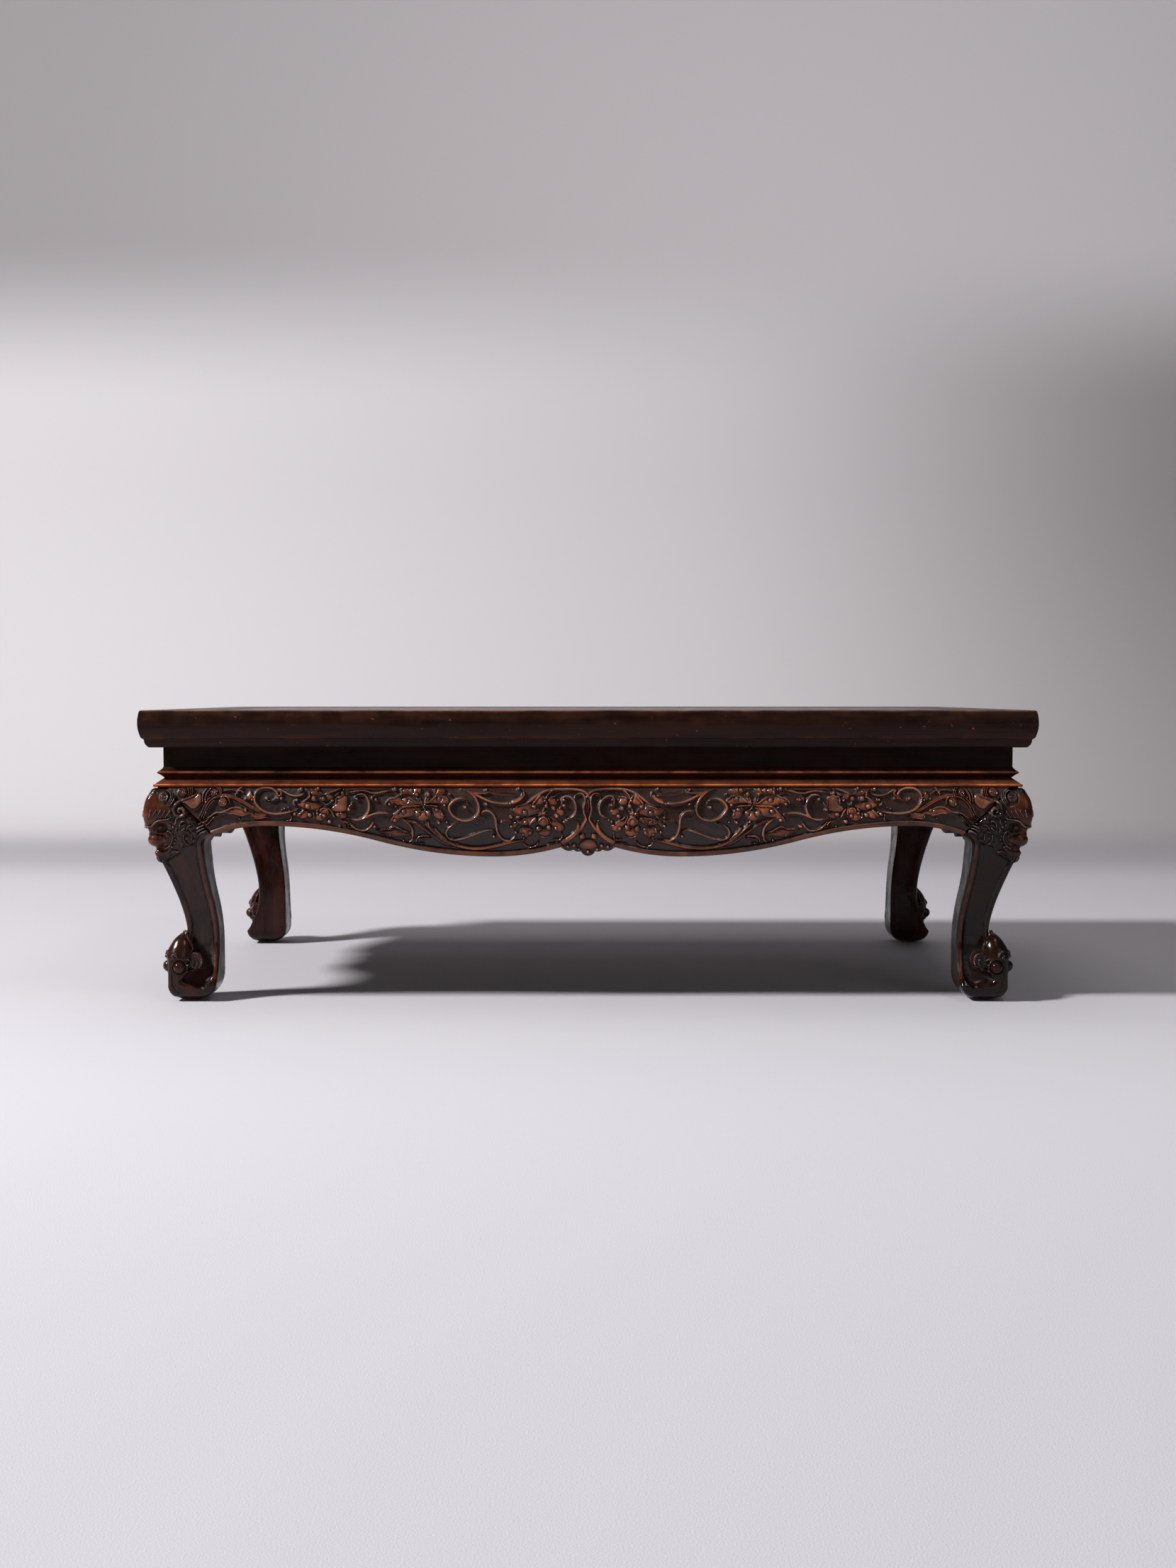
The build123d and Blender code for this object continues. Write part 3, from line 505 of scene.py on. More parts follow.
FLOWER_B = {
    "petals": [
        [(-190, 223.8), (-190, 217.5), (-185, 218), (-180, 217.5), (-175, 216), (-171.5, 218.5),
            (-170, 224), (-180, 224.3)],
        [(-172, 224.5), (-166, 223), (-160, 220.5), (-156, 217.5), (-148.5, 217), (-144.5, 220),
            (-147, 224.5)],
        [(-161, 213), (-154, 216), (-146, 215), (-140.8, 210.5), (-144, 207.5), (-153, 208.3),
            (-163, 208.8)],
        [(-189, 213.5), (-182, 213.6), (-176, 210.5), (-171.5, 208), (-178, 206), (-187, 205.6),
            (-192, 207), (-195.5, 211)],
        [(-205, 207.5), (-203, 212), (-198, 214.7), (-192, 215.5), (-189.5, 211), (-193, 206),
            (-197, 208.5), (-201, 206)],
        [(-193, 200.5), (-188, 205), (-179, 205.3), (-170, 204.5), (-175, 199), (-179, 195), (-187, 193.8),
            (-194.5, 194.5)],
        [(-178, 199), (-173.5, 203), (-168, 201), (-163, 203), (-159, 199.5), (-160.5, 194), (-165, 190.8),
            (-171, 190.3), (-175.5, 194)],
        [(-158.5, 205), (-150.5, 204), (-146.6, 199), (-146.5, 193), (-152, 192), (-157, 196)],
        [(-199.5, 195), (-196, 199.5), (-192, 200), (-190.5, 196), (-193, 191), (-197, 189)],
    ],
    "ridges": [
        (0.9, 3.5, [(-168, 207.8), (-165.9, 210.5), (-164.6, 215)]),
        (0.9, 3.5, [(-167.5, 207.8), (-163.9, 210.6), (-162.3, 215)]),
        (1, 3.4, [(-167, 207.6), (-162, 210), (-158, 213.6), (-153, 216.2), (-147, 215.7), (-143, 213.3),
            (-140.6, 209.5)]),
        (0.8, 3.2, [(-168, 207.8), (-172, 210.5), (-174.6, 214.5)]),
        (0.8, 3.2, [(-168, 208), (-170.6, 211.6), (-171.8, 215)]),
        (1, 3.2, [(-168, 208), (-173, 208.6), (-177, 211), (-181, 213.7), (-185.5, 214.6), (-188.6, 213),
            (-188.8, 210)]),
        (0.9, 3.1, [(-168, 207.4), (-163, 206.2), (-157, 206.1), (-151, 205.2)]),
        (1.1, 3.3, [(-168, 207.4), (-174, 206), (-182, 205.6), (-187, 205.3), (-190.3, 203), (-193.3, 200),
            (-197.2, 196)]),
        (0.9, 3.2, [(-168, 207), (-167, 204), (-165.2, 201.8)]),
        (1.1, 3.3, [(-206.3, 206.4), (-205, 210.4), (-201, 213.6), (-197.2, 214.2), (-194, 216.3),
            (-190.3, 216.3)]),
        (0.9, 3.3, [(-190.4, 216.5), (-190.2, 220.5), (-192.5, 222)]),
        (1, 3.5, [(-149.6, 198.8), (-146.8, 195.6)]),
        (1.1, 3, [(-199.6, 189.5), (-199.6, 192.5), (-197.4, 195)]),
        (0.8, 3.4, [(-178, 217.5), (-175.5, 221), (-174.6, 224.5)]),
        (1, 3, [(-166.6, 188.8), (-162, 184.3), (-157, 179.3), (-151, 173.5)]),
        (0.9, 3.2, [(-162.4, 191.5), (-161.6, 186), (-158, 180.5), (-151.5, 174.5)]),
        (1, 3.2, [(-156.6, 185), (-152.5, 179.3), (-148, 175), (-143.6, 171)]),
        (1.6, 2.2, [(-186, 192), (-176, 187.8), (-166, 181.5), (-157, 174.8)]),
        (1.5, 3, [(-190, 193.6), (-186, 190.5), (-182, 187), (-179.3, 183), (-178.4, 178.3), (-178.9, 174),
            (-181, 170.8)]),
        (0.9, 2.8, [(-216, 181), (-209, 182.2), (-202.7, 182), (-200, 183.9), (-196, 184.4), (-192, 182.6),
            (-187.3, 179.8), (-183.8, 178.8), (-180, 176.2)]),
        (0.7, 2.5, [(-214, 179), (-205, 179.6), (-197, 180.4), (-190, 179.4)]),
        (0.7, 2.4, [(-212, 176.8), (-205, 176.8), (-198, 177.2)]),
        (1, 2.9, [(-159.5, 174.7), (-166, 175), (-171, 174.6), (-174.3, 172.4), (-175, 169),
            (-173.4, 166.8)]),
        (0.7, 2.2, [(-160, 172.6), (-166, 172.9), (-171, 172)]),
        (1, 3.2, [(-183.5, 168.5), (-180.2, 170.2), (-178.6, 173)]),
    ],
    "fan": None,
    "knobs": [(-180.6, 221.6, 2.9), (-174.6, 217.7, 2.4), (-163, 217.9, 2.9), (-156.4, 221.8, 2.9),
        (-197, 223, 2.6), (-151.4, 213.5, 3), (-190.2, 223.4, 1.4), (-140.6, 217.8, 1.6), (-186, 211.8, 3),
        (-202.3, 207.4, 2.2), (-187.6, 200.6, 3.1), (-173.2, 198.4, 3.6), (-162.3, 198.7, 3.2),
        (-153.6, 202, 2.4), (-151.6, 188.6, 2.4), (-143.6, 189.2, 1.5), (-146, 206.6, 1.9),
        (-196.6, 191, 2.6), (-216.5, 184.5, 1.8), (-188.6, 170.2, 1.4), (-191.5, 167.4, 1.1),
        (-170, 167.3, 1.3), (-167.6, 167.3, 1), (-201.8, 175.6, 1.2), (-133.7, 166.6, 1.3)],
}
FLOWER_C = {
    "petals": [
        [(-284.6, 217.5), (-283.8, 221), (-279.5, 222.3), (-274, 219.3), (-270.5, 217.2), (-276, 216),
            (-281, 216.3)],
        [(-269, 217.6), (-265, 218.5), (-261, 216.5), (-260, 213.6), (-265, 211.8), (-268, 214.5)],
        [(-296.5, 208), (-290, 211), (-283, 209.7), (-277, 208.6), (-271, 206), (-277.5, 202), (-284, 201),
            (-291, 203), (-296, 205.5)],
        [(-279.8, 197), (-278.8, 192), (-274, 189.8), (-269.5, 191.3), (-267.5, 195), (-272, 199),
            (-276, 200)],
        [(-296.5, 196.5), (-291, 201.5), (-286.5, 200), (-284.5, 197), (-288.5, 192.8), (-294, 192)],
        [(-262.5, 204), (-258.5, 208.5), (-256.8, 213), (-251, 216.6), (-245.5, 216), (-245.3, 208),
            (-247, 201.5), (-252, 199.6), (-258, 199.6), (-261.5, 201)],
        [(-274.5, 203), (-268.5, 205), (-265, 203), (-263.5, 198), (-268, 196), (-273.5, 199)],
        [(-301, 199.5), (-299, 201.5), (-295.5, 199), (-297, 195)],
        [(-258, 199), (-252, 199.5), (-246, 198), (-247.5, 193.5), (-254, 193)],
    ],
    "ridges": [
        (0.8, 3.3, [(-270.6, 210.3), (-268, 207), (-265, 208.4), (-262.8, 209.2)]),
        (0.9, 3.2, [(-274, 198.5), (-273.6, 201.7), (-271.5, 203.4), (-268.6, 203.2), (-267.2, 200.4),
            (-268, 197.5)]),
        (0.8, 3.4, [(-267, 203.6), (-265.5, 200.3), (-266.2, 196)]),
        (0.9, 3.3, [(-265, 203.4), (-262.5, 201), (-260.8, 198.3), (-259.7, 195.7), (-257.5, 194.3)]),
        (1, 3.3, [(-275.3, 203), (-278, 200)]),
        (1, 3.2, [(-294, 209.3), (-290.6, 210.4), (-286.6, 213.5), (-284.6, 214.8), (-285.3, 218.5),
            (-283, 221.5)]),
        (1.2, 3.6, [(-298, 194.3), (-294, 198.5), (-290, 202.3)]),
        (0.9, 2.9, [(-275.3, 220.2), (-271.6, 217.8), (-269, 217)]),
        (1.2, 2.8, [(-270, 217.6), (-264, 219.6), (-257, 222.3), (-252, 223.8)]),
        (0.9, 3.4, [(-260, 215.6), (-256.5, 217.8), (-253.8, 219.8)]),
        (0.9, 3.5, [(-259.5, 207.4), (-257.6, 209.5), (-257.4, 213), (-255, 217)]),
        (0.9, 3.4, [(-256, 214), (-251.5, 216.3), (-249.5, 218)]),
        (1.3, 3, [(-317, 223.5), (-311, 220.3), (-305, 217.3), (-298, 216), (-292, 217.4),
            (-289.3, 220.5)]),
        (1.1, 2.8, [(-305.3, 197.5), (-303.6, 195), (-303.6, 192), (-306, 190.4), (-312, 189.9),
            (-321, 190)]),
        (0.9, 3, [(-249.6, 191), (-245.8, 188.3), (-244, 184.6)]),
        (0.8, 2.6, [(-253.5, 192), (-248.5, 188.2), (-246.8, 184)]),
        (0.7, 2, [(-295, 188), (-287, 187.3), (-280, 186.8)]),
        (0.9, 3.1, [(-300.8, 211), (-300.6, 207.5), (-298.8, 206)]),
        (1, 3, [(-280, 199.5), (-280.2, 195.5), (-278.8, 192)]),
        (0.8, 2.8, [(-289, 223.8), (-286, 220.5), (-285.2, 217)]),
    ],
    "fan": None,
    "knobs": [(-270.7, 213.3, 2.9), (-280.4, 213.3, 3.3), (-286.7, 205.2, 3.2), (-276.5, 223.3, 2.3),
        (-284.4, 196.2, 2.8), (-269.4, 195.7, 2.7), (-276.6, 198.1, 2.2), (-264, 189.6, 3),
        (-255.4, 197, 2.6), (-300, 197.2, 2.6), (-294, 222.6, 2.7), (-298, 211.8, 2.3),
        (-261.6, 211.3, 1.9), (-251, 219, 2.4), (-253.6, 184.6, 1.6), (-243.8, 201.8, 2.2),
        (-236, 212.7, 2), (-217.6, 184.6, 1.8), (-216.6, 212, 2.4), (-314, 213.6, 2), (-317.6, 213.8, 1.5),
        (-310.4, 203, 1.1), (-306.4, 204, 0.9), (-313, 201.6, 0.9), (-274.9, 187.6, 1)],
}
UNDER_FLOWERS = [
    (1.4, 3.1, [(-238, 212.5), (-237.3, 215.6), (-234, 217.3), (-229, 217), (-225.5, 213.5), (-223.3, 208),
        (-223.3, 202.5), (-225.3, 197.5), (-229, 193.5), (-234, 191.8), (-240, 192.2), (-246, 193.4)]),
    (1, 2.9, [(-246, 199.5), (-245, 203.5), (-240, 210)]),
    (1.5, 2.9, [(-230, 192.3), (-223, 195.9), (-216, 198), (-208, 198.5), (-200, 197.4)]),
    (1.4, 3.1, [(-245, 190), (-241, 185.4), (-236, 181.7), (-231, 180.4), (-226, 181.3), (-222, 184.3),
        (-219.5, 188), (-218, 191.3)]),
    (1.3, 2.8, [(-247, 218.5), (-240, 220.4), (-232, 221), (-226, 220.2), (-222, 218.8), (-216, 218.6),
        (-211, 219.8), (-205, 221), (-199.5, 222)]),
    (1.3, 1.9, [(-250, 223), (-235, 223.4), (-215, 222.8), (-203, 223.4)]),
    (1, 2.8, [(-220.3, 210.5), (-220.2, 214.5), (-217, 217)]),
    (0.8, 1.8, [(-209, 218), (-200, 218), (-193, 216.4)]),
    (0.8, 1.8, [(-196, 206), (-193, 203.4)]),
]
RING_VINES = [
    (1.6, 3.1, [(-295.5, 202.6), (-301, 200.6), (-307, 199.1), (-315, 198.1), (-323, 198.3), (-330, 200),
        (-336, 203.5), (-340.5, 208.5), (-342, 214), (-340.5, 219.3), (-336.5, 222.8), (-331, 224),
        (-324, 223.2), (-319.5, 220.3), (-318, 216.8), (-320, 213.3), (-324, 211.3), (-328.5, 211.4)]),
    (1.2, 2.6, [(-342, 213.4), (-344.8, 215.5), (-347, 221)]),
    (0.8, 2.6, [(-345.6, 197), (-344, 193.8), (-340, 192.7), (-334, 193.6), (-326, 195)]),
    (1.1, 3, [(-362, 216), (-360.3, 219.5), (-358, 223), (-354.5, 224.3)]),
    (0.9, 2.8, [(-361.4, 220.2), (-357, 220.9), (-352.6, 218)]),
    (1, 2.7, [(-376, 220.5), (-368, 221.8), (-362, 221), (-358.6, 217.3)]),
    (1.2, 2.9, [(-317, 222.5), (-314, 218.5), (-317.5, 214.6)]),
]
LEG_END = {
    "petals": [
        [(-376, 198.5), (-368.5, 202), (-362, 204.2), (-356, 204.2), (-349, 201.5), (-342, 199.3),
            (-350, 196), (-358, 197.2), (-367, 198.2)],
        [(-345.6, 197.5), (-338, 199), (-328, 197.6), (-333, 194), (-341, 193)],
        [(-350.5, 217), (-347, 220.8), (-344, 217), (-344.4, 212), (-347.6, 211.4), (-350.6, 213)],
    ],
    "ear": [(-418, 209.6), (-412, 212.4), (-407.6, 213.8), (-403.5, 215.7), (-401.1, 218.7),
        (-398.7, 219.2), (-396.4, 217.5), (-395.4, 213.9), (-396.3, 209.6), (-399, 206), (-402.3, 203),
        (-406.6, 202.1), (-409.6, 204.2), (-413, 207.2)],
    "ridges": [
        (1, 3.4, [(-374.5, 199), (-370, 201.6), (-364.5, 204), (-358, 204.2), (-352.5, 202.2)]),
        (0.8, 3, [(-370, 198.4), (-362, 198.1), (-356, 196.6), (-350, 196.2)]),
        (1, 4.3, [(-418, 210.2), (-412, 212.9), (-407.6, 214.2), (-403.5, 216.1), (-401.1, 219.2)]),
        (0.85, 3, [(-394.3, 207.8), (-394.9, 211.4), (-395.1, 215.1), (-393.9, 219.3), (-391.4, 222.8),
            (-388.6, 224.6)]),
        (0.95, 3.2, [(-392.2, 208.1), (-392.3, 213.3), (-391.4, 217.5), (-389.3, 221.1), (-386.2, 223.8)]),
        (0.75, 2.8, [(-389.9, 211.9), (-389.2, 215.2), (-386.6, 217), (-384.8, 215.4)]),
        (0.85, 3, [(-400, 192.2), (-397.2, 197.5), (-394.8, 202.8), (-392.6, 207.2), (-390.4, 210.8),
            (-387.4, 213.9), (-383.2, 215.9)]),
        (0.85, 3.1, [(-398.2, 190.8), (-395.2, 196.3), (-392.9, 201.2), (-390.8, 206), (-388.1, 209.9),
            (-384.7, 212.7), (-380.5, 214.8), (-376.2, 216.2)]),
        (0.8, 2.9, [(-396.2, 190.2), (-393.2, 195.7), (-390.8, 201.2), (-388.5, 205.2), (-386.1, 208.6),
            (-382.9, 211.2), (-379.3, 213.4)]),
        (0.9, 3.1, [(-393.4, 192.3), (-387.8, 194.8), (-384.1, 197.5), (-380.5, 199.2), (-374.4, 199.7),
            (-369, 201.7), (-364, 203.8)]),
        (0.85, 2.8, [(-396.2, 188.5), (-392.6, 189.9), (-390.2, 191.5), (-388.2, 193.4)]),
        (0.85, 2.8, [(-393.8, 185.9), (-390.2, 187.2), (-387.6, 189.6), (-385.1, 192.7), (-382.3, 195.4),
            (-379.7, 196.2)]),
        (0.75, 2.6, [(-391, 184), (-388.6, 185.6), (-386.6, 187.8), (-384.2, 190.8)]),
    ],
    "knobs": [(-350.6, 201.4, 2.1), (-350.9, 213, 1.6), (-344.5, 212, 1.5), (-329, 213.4, 2),
        (-357, 193, 1)],
    "whorls": [(-374.4, 209.4, 5.2, 60), (-383.8, 219.7, 4.4, 0), (-416.6, 219.9, 5.4, 200)],
    "rings": [
        (-416.6, 219.9, (7, 8.9, 10.9), -48, 62),
        (-383.8, 219.7, (6, 7.6), -38, 80),
        (-374.4, 209.4, (6.9,), -30, 75),
    ],
}


# ---------------------------------------------------------------- materials
def add(tree, kind, inputs=None, **settings):
    """A shader node with its settings, constants and links."""
    node = tree.nodes.new(kind)
    for key, value in settings.items():
        setattr(node, key, value)
    for key, value in (inputs or {}).items():
        if isinstance(value, bpy.types.NodeSocket):
            tree.links.new(value, node.inputs[key])
        else:
            node.inputs[key].default_value = value
    return node


def colour_mix(tree, factor, first, second):
    """Blend of two colours, each a link or a linear RGB triple."""
    first, second = [c if isinstance(c, bpy.types.NodeSocket) else (*c, 1) for c in (first, second)]
    node = add(tree, "ShaderNodeMix", {0: factor, 6: first, 7: second}, data_type="RGBA")
    return node.outputs[2]


def ramp(tree, value, low, high, start=0.0, end=1.0):
    """Smooth change from `start` to `end` while the value goes from `low` to `high`."""
    inputs = {"Value": value, "From Min": low, "From Max": high, "To Min": start, "To Max": end}
    return add(tree, "ShaderNodeMapRange", inputs, interpolation_type="SMOOTHSTEP").outputs[0]


def combine(tree, operation, first, second):
    return add(tree, "ShaderNodeMath", {0: first, 1: second}, operation=operation, use_clamp=True).outputs[0]


GRAIN = {"x": 0, "y": 1, "z": 2}
DARK = (0.024, 0.0086, 0.0056)
MIDDLE = (0.085, 0.025, 0.0125)
WORN = (0.33, 0.10, 0.034)
# Dark of the pores and hollows, also used as painted shade on hidden and inner faces.
PORE_HOLLOW_AND_SHADE_DARK = (0.012, 0.0068, 0.005)
# Pale colour painted on the crests of fine ridges as a highlight.
PAINTED_HIGHLIGHT_COLOUR = (0.38, 0.3, 0.27)


def wood(name, axis, dark=DARK, middle=MIDDLE, worn=WORN, rough=0.33, rubbed=0.0, shine=0.25):
    """Waxed hardwood with its grain along one axis.

    The meshes' "wear" lightens rubbed high points and paints highlight lines on the moulding's tip and the
    bevel's bead, their "cavity" darkens and roughens the hollows and paints shade on hidden and inner faces,
    and "wax" is a pale painted highlight on the finest ridges.
    """
    material = bpy.data.materials.new(name)
    material.use_nodes = True
    tree = material.node_tree
    tree.nodes.clear()
    place = add(tree, "ShaderNodeTexCoord").outputs["Object"]

    def texture(along, across, detail, distortion=0.0, shift=0.0):
        scale = [across] * 3
        scale[GRAIN[axis]] = along
        mapped = add(tree, "ShaderNodeMapping", {"Vector": place, "Scale": scale, "Location": [shift] * 3})
        inputs = {"Vector": mapped.outputs[0], "Scale": 1.0, "Detail": detail, "Distortion": distortion}
        return add(tree, "ShaderNodeTexNoise", inputs).outputs["Fac"]

    def plus(first, second):
        return combine(tree, "ADD", first, second)

    def times(first, second):
        return combine(tree, "MULTIPLY", first, second)

    broad = ramp(tree, texture(4, 55, 3, 0.6), 0.36, 0.66)
    grain = ramp(tree, texture(12, 620, 3, 0.2, 3.1), 0.42, 0.62)
    pores = ramp(tree, texture(75, 1500, 1, 0, 5.7), 0.63, 0.72)
    mottle = texture(55, 55, 4, 0.4, 9.2)
    flecks = ramp(tree, texture(240, 420, 3, 0, 1.7), 0.66, 0.74)
    scuffs = ramp(tree, texture(30, 700, 2, 1.6, 7.3), 0.76, 0.82, 0.0, 0.6)

    marks = [add(tree, "ShaderNodeAttribute", attribute_name=key) for key in ("wear_and_highlight", "hollows_and_shade", "painted_highlight")]
    wear_and_highlight, hollows_and_shade, painted_highlight = [mark.outputs["Fac"] for mark in marks]
    rubbing = times(flecks, ramp(tree, mottle, 0.5, 0.62))
    rubbing = times(combine(tree, "MAXIMUM", rubbing, scuffs), rubbed)
    # Wear, which on the moulding's tip and the bevel's bead is brightened into painted highlight lines.
    wear_and_highlight_share = plus(times(wear_and_highlight, ramp(tree, mottle, 0.34, 0.62, 0.35, 1.0)), rubbing)

    colour = colour_mix(tree, plus(times(broad, 0.65), times(grain, 0.35)), dark, middle)
    colour = colour_mix(tree, wear_and_highlight_share, colour, worn)
    # Painted highlight: pale colour on the finest crests.
    colour = colour_mix(tree, times(painted_highlight, ramp(tree, mottle, 0.3, 0.6, 0.4, 0.9)), colour, PAINTED_HIGHLIGHT_COLOUR)
    colour = colour_mix(tree, times(pores, 0.55), colour, PORE_HOLLOW_AND_SHADE_DARK)
    # Darker in the hollows, with painted shade on hidden and inner faces.
    colour = colour_mix(tree, times(hollows_and_shade, 0.9), colour, PORE_HOLLOW_AND_SHADE_DARK)

    roughness = ramp(tree, mottle, 0.3, 0.7, rough - 0.07, rough + 0.1)
    roughness = plus(plus(roughness, times(hollows_and_shade, 0.42)), times(rubbing, 0.15))

    waves = add(tree, "ShaderNodeBump", {"Height": mottle, "Strength": 0.35, "Distance": 0.0006})
    lines = combine(tree, "SUBTRACT", times(grain, 0.35), times(pores, 0.9))
    bump_inputs = {"Height": lines, "Strength": 0.45, "Distance": 0.0001, "Normal": waves.outputs[0]}
    bump = add(tree, "ShaderNodeBump", bump_inputs)
    shader_inputs = {
        "Base Color": colour,
        "Roughness": roughness,
        "Normal": bump.outputs[0],
        "Specular IOR Level": shine,
    }
    shader = add(tree, "ShaderNodeBsdfPrincipled", shader_inputs)
    add(tree, "ShaderNodeOutputMaterial", {"Surface": shader.outputs[0]})
    return material


def both_ways(name, *look, **settings):
    """The same wood with its grain along X and along Y."""
    return {axis: wood(f"{name}_{axis}", axis, *look, **settings) for axis in "xy"}


# Linear colours of the dark grain, the wood and its rubbed places, then roughness, rubbing and shine.
FRAME_WOOD = both_ways("frame_wood", (0.009, 0.0036, 0.0026), (0.024, 0.0082, 0.005), rubbed=0.7, shine=0.14)
PANEL_WOOD = wood("panel_wood", "x", middle=(0.07, 0.026, 0.014), rough=0.3, rubbed=0.6, shine=0.4)
WAIST_WOOD = both_ways("waist_wood", (0.006, 0.0027, 0.002), (0.016, 0.005, 0.003), shine=0.1)
CARVED_WOOD = both_ways(
    "carved_wood", (0.016, 0.0056, 0.0042), (0.06, 0.0145, 0.0065), (0.36, 0.092, 0.03), 0.17, 0.3, 0.44
)
# Copies of one leg wood for how light falls: the right front leg's copy is darker as painted shade, and the
# back legs have their own.
LEG_LOOKS_BY_LIGHT = {
    "left": ((0.011, 0.004, 0.003), (0.05, 0.0135, 0.0075), (0.25, 0.058, 0.02), 0.17, 0.3, 0.3),
    "right": ((0.006, 0.0024, 0.0019), (0.018, 0.0052, 0.0034), (0.22, 0.052, 0.019), 0.17, 0.3, 0.26),
    "back": ((0.009, 0.0026, 0.0019), (0.042, 0.0098, 0.0055), (0.16, 0.04, 0.019), 0.26, 0.6, 0.24),
}
LEG_WOOD_BY_LIGHT = {which: wood(f"leg_wood_by_light_{which}", "z", *look) for which, look in LEG_LOOKS_BY_LIGHT.items()}
BEVEL_WOOD = both_ways("bevel_wood", (0.034, 0.008, 0.0035), (0.1, 0.023, 0.0075), (0.56, 0.165, 0.062), 0.3)
# A darker copy of the wood for the moulding: painted shade on its slopes above and below the tip.
SHADED_MOULDING_WOOD = both_ways(
    "shaded_moulding_wood", (0.007, 0.002, 0.0015), (0.045, 0.009, 0.004), (0.4, 0.11, 0.035), 0.3
)
PLAIN_WOOD = wood("plain_wood", "y", (0.045, 0.024, 0.015), (0.11, 0.06, 0.035), rough=0.62)


# ---------------------------------------------------------------- members swept along the sides
STATIONS = 240
MEMBER_CREASE = 50
DENT_REACH = 12


def swept_member(name, side, section, wear_and_highlight, material, nodes, dent=0.25, seed=1, patchy=1.0):
    """A member of one side between its two mitres: a section drawn as (inset, height) down its outer face.

    `dent` is how uneven its face is, and `patchy` how much of the wear comes and goes along it.
    """
    run = SIDES[side][1]
    drawn_inset, drawn_height = np.array(section, float).T
    wear_and_highlight = np.interp(np.arange(len(section)), *np.array(wear_and_highlight, float).T)
    x = np.linspace(-1, 1, STATIONS)[:, None] * (run / 2 - drawn_inset - MITRE_GAP)
    z = np.broadcast_to(drawn_height, x.shape)
    depth_share = np.clip((MEMBER_BACK - drawn_inset) / DENT_REACH, 0, 1)
    uneven = lattice_noise(x / 38 + 7, z / 9, seed) + 0.5 * lattice_noise(x / 9, z / 5, seed + 1)
    inset = drawn_inset + dent * depth_share * uneven * 0.6
    rub = np.clip(1 - patchy * (0.45 - 0.9 * lattice_noise(x / 26, z / 4, seed + 2)), 0, 1)
    points = turn_to_side(np.stack([x, inset, z], -1), side).reshape(-1, 3)
    faces = ring_faces(STATIONS, len(section))
    return mesh_piece(name, points, faces, material, nodes, {"wear_and_highlight": wear_and_highlight * rub}, MEMBER_CREASE)


# Each wear list is (point of the section, wear there); on the moulding's tip and the bevel's bead it is
# raised into a painted highlight line.
STEP = HEIGHT - 29.6
UPPER_ARRIS = (3.8, HEIGHT)
NOSE_START = (1.25, HEIGHT - 2.4)
NOSE_END = (1.9, STEP + 4)
STEP_EDGE = (5.0, STEP)
COVE_START = (5.4, STEP - 1.1)
RAIL_SECTION = (
    straight((RAIL_WIDTH, HEIGHT), UPPER_ARRIS, 4)
    + arc(UPPER_ARRIS, (2.1, HEIGHT - 0.6), NOSE_START, 5)
    + arc(NOSE_START, (0.0, HEIGHT - 14), NOSE_END, 14)
    + arc(NOSE_END, (3.0, STEP + 1.4), STEP_EDGE, 5)
    + straight(STEP_EDGE, COVE_START, 2)
    + arc(COVE_START, (6.4, STEP - 5.2), (9.2, FRAME_BOTTOM + 0.3), 7)
    + straight((9.2, FRAME_BOTTOM), (RAIL_WIDTH, FRAME_BOTTOM), 3)
    + [(RAIL_WIDTH, FRAME_BOTTOM)]
)
RAIL_WEAR = [(0, 0), (3, 0.1), (4.5, 0.7), (6, 0.75), (7.5, 0.1), (19, 0), (23, 0.04), (26, 0.12), (28, 0)]
WAIST_SECTION = (
    straight((MEMBER_BACK, FRAME_BOTTOM), (WAIST_INSET, FRAME_BOTTOM), 2)
    + straight((WAIST_INSET, FRAME_BOTTOM), (WAIST_INSET, MOULDING_TOP), 8)
    + straight((WAIST_INSET, MOULDING_TOP), (MEMBER_BACK, MOULDING_TOP), 2)
    + [(MEMBER_BACK, MOULDING_TOP)]
)
WAIST_WEAR = [(0, 0), (12, 0)]
TIP = (APRON_TOP + MOULDING_TOP) / 2
TIP_UPPER = (MOULDING_TIP + 0.3, TIP + 0.9)
TIP_LOWER = (MOULDING_TIP + 0.3, TIP - 0.9)
BAND_TOP = (BAND_TOP_INSET, APRON_TOP)
MOULDING_SECTION = (
    straight((MEMBER_BACK, MOULDING_TOP), (WAIST_INSET, MOULDING_TOP), 2)
    + arc((WAIST_INSET, MOULDING_TOP), (18.9, TIP + 2.8), TIP_UPPER, 7)
    + arc(TIP_UPPER, (MOULDING_TIP, TIP), TIP_LOWER, 4)
    + arc(TIP_LOWER, (19.2, TIP - 2.8), BAND_TOP, 7)
    + straight(BAND_TOP, (MEMBER_BACK, APRON_TOP), 2)
    + [(MEMBER_BACK, APRON_TOP)]
)
# The moulding's tip: wear, brightened into a painted highlight line.
MOULDING_WEAR_AND_HIGHLIGHT = [(0, 0), (6, 0.05), (8, 0.2), (9, 1.4), (10.5, 1.3), (12, 0.1), (15, 0), (23, 0)]
BEVEL_FOOT = (14.7, 228.6)
ARRIS_START = (14.5, 227.9)
SHOULDER = (13.2, SHOULDER_HEIGHT)
BAND_SECTION = (
    straight((MEMBER_BACK, APRON_TOP), BAND_TOP, 2)
    + straight(BAND_TOP, BEVEL_FOOT, 7)
    + straight(BEVEL_FOOT, ARRIS_START, 2)
    + arc(ARRIS_START, (12.35, 226.6), SHOULDER, 7)
    + straight(SHOULDER, (MEMBER_BACK, SHOULDER_HEIGHT), 3)
    + [(MEMBER_BACK, SHOULDER_HEIGHT)]
)
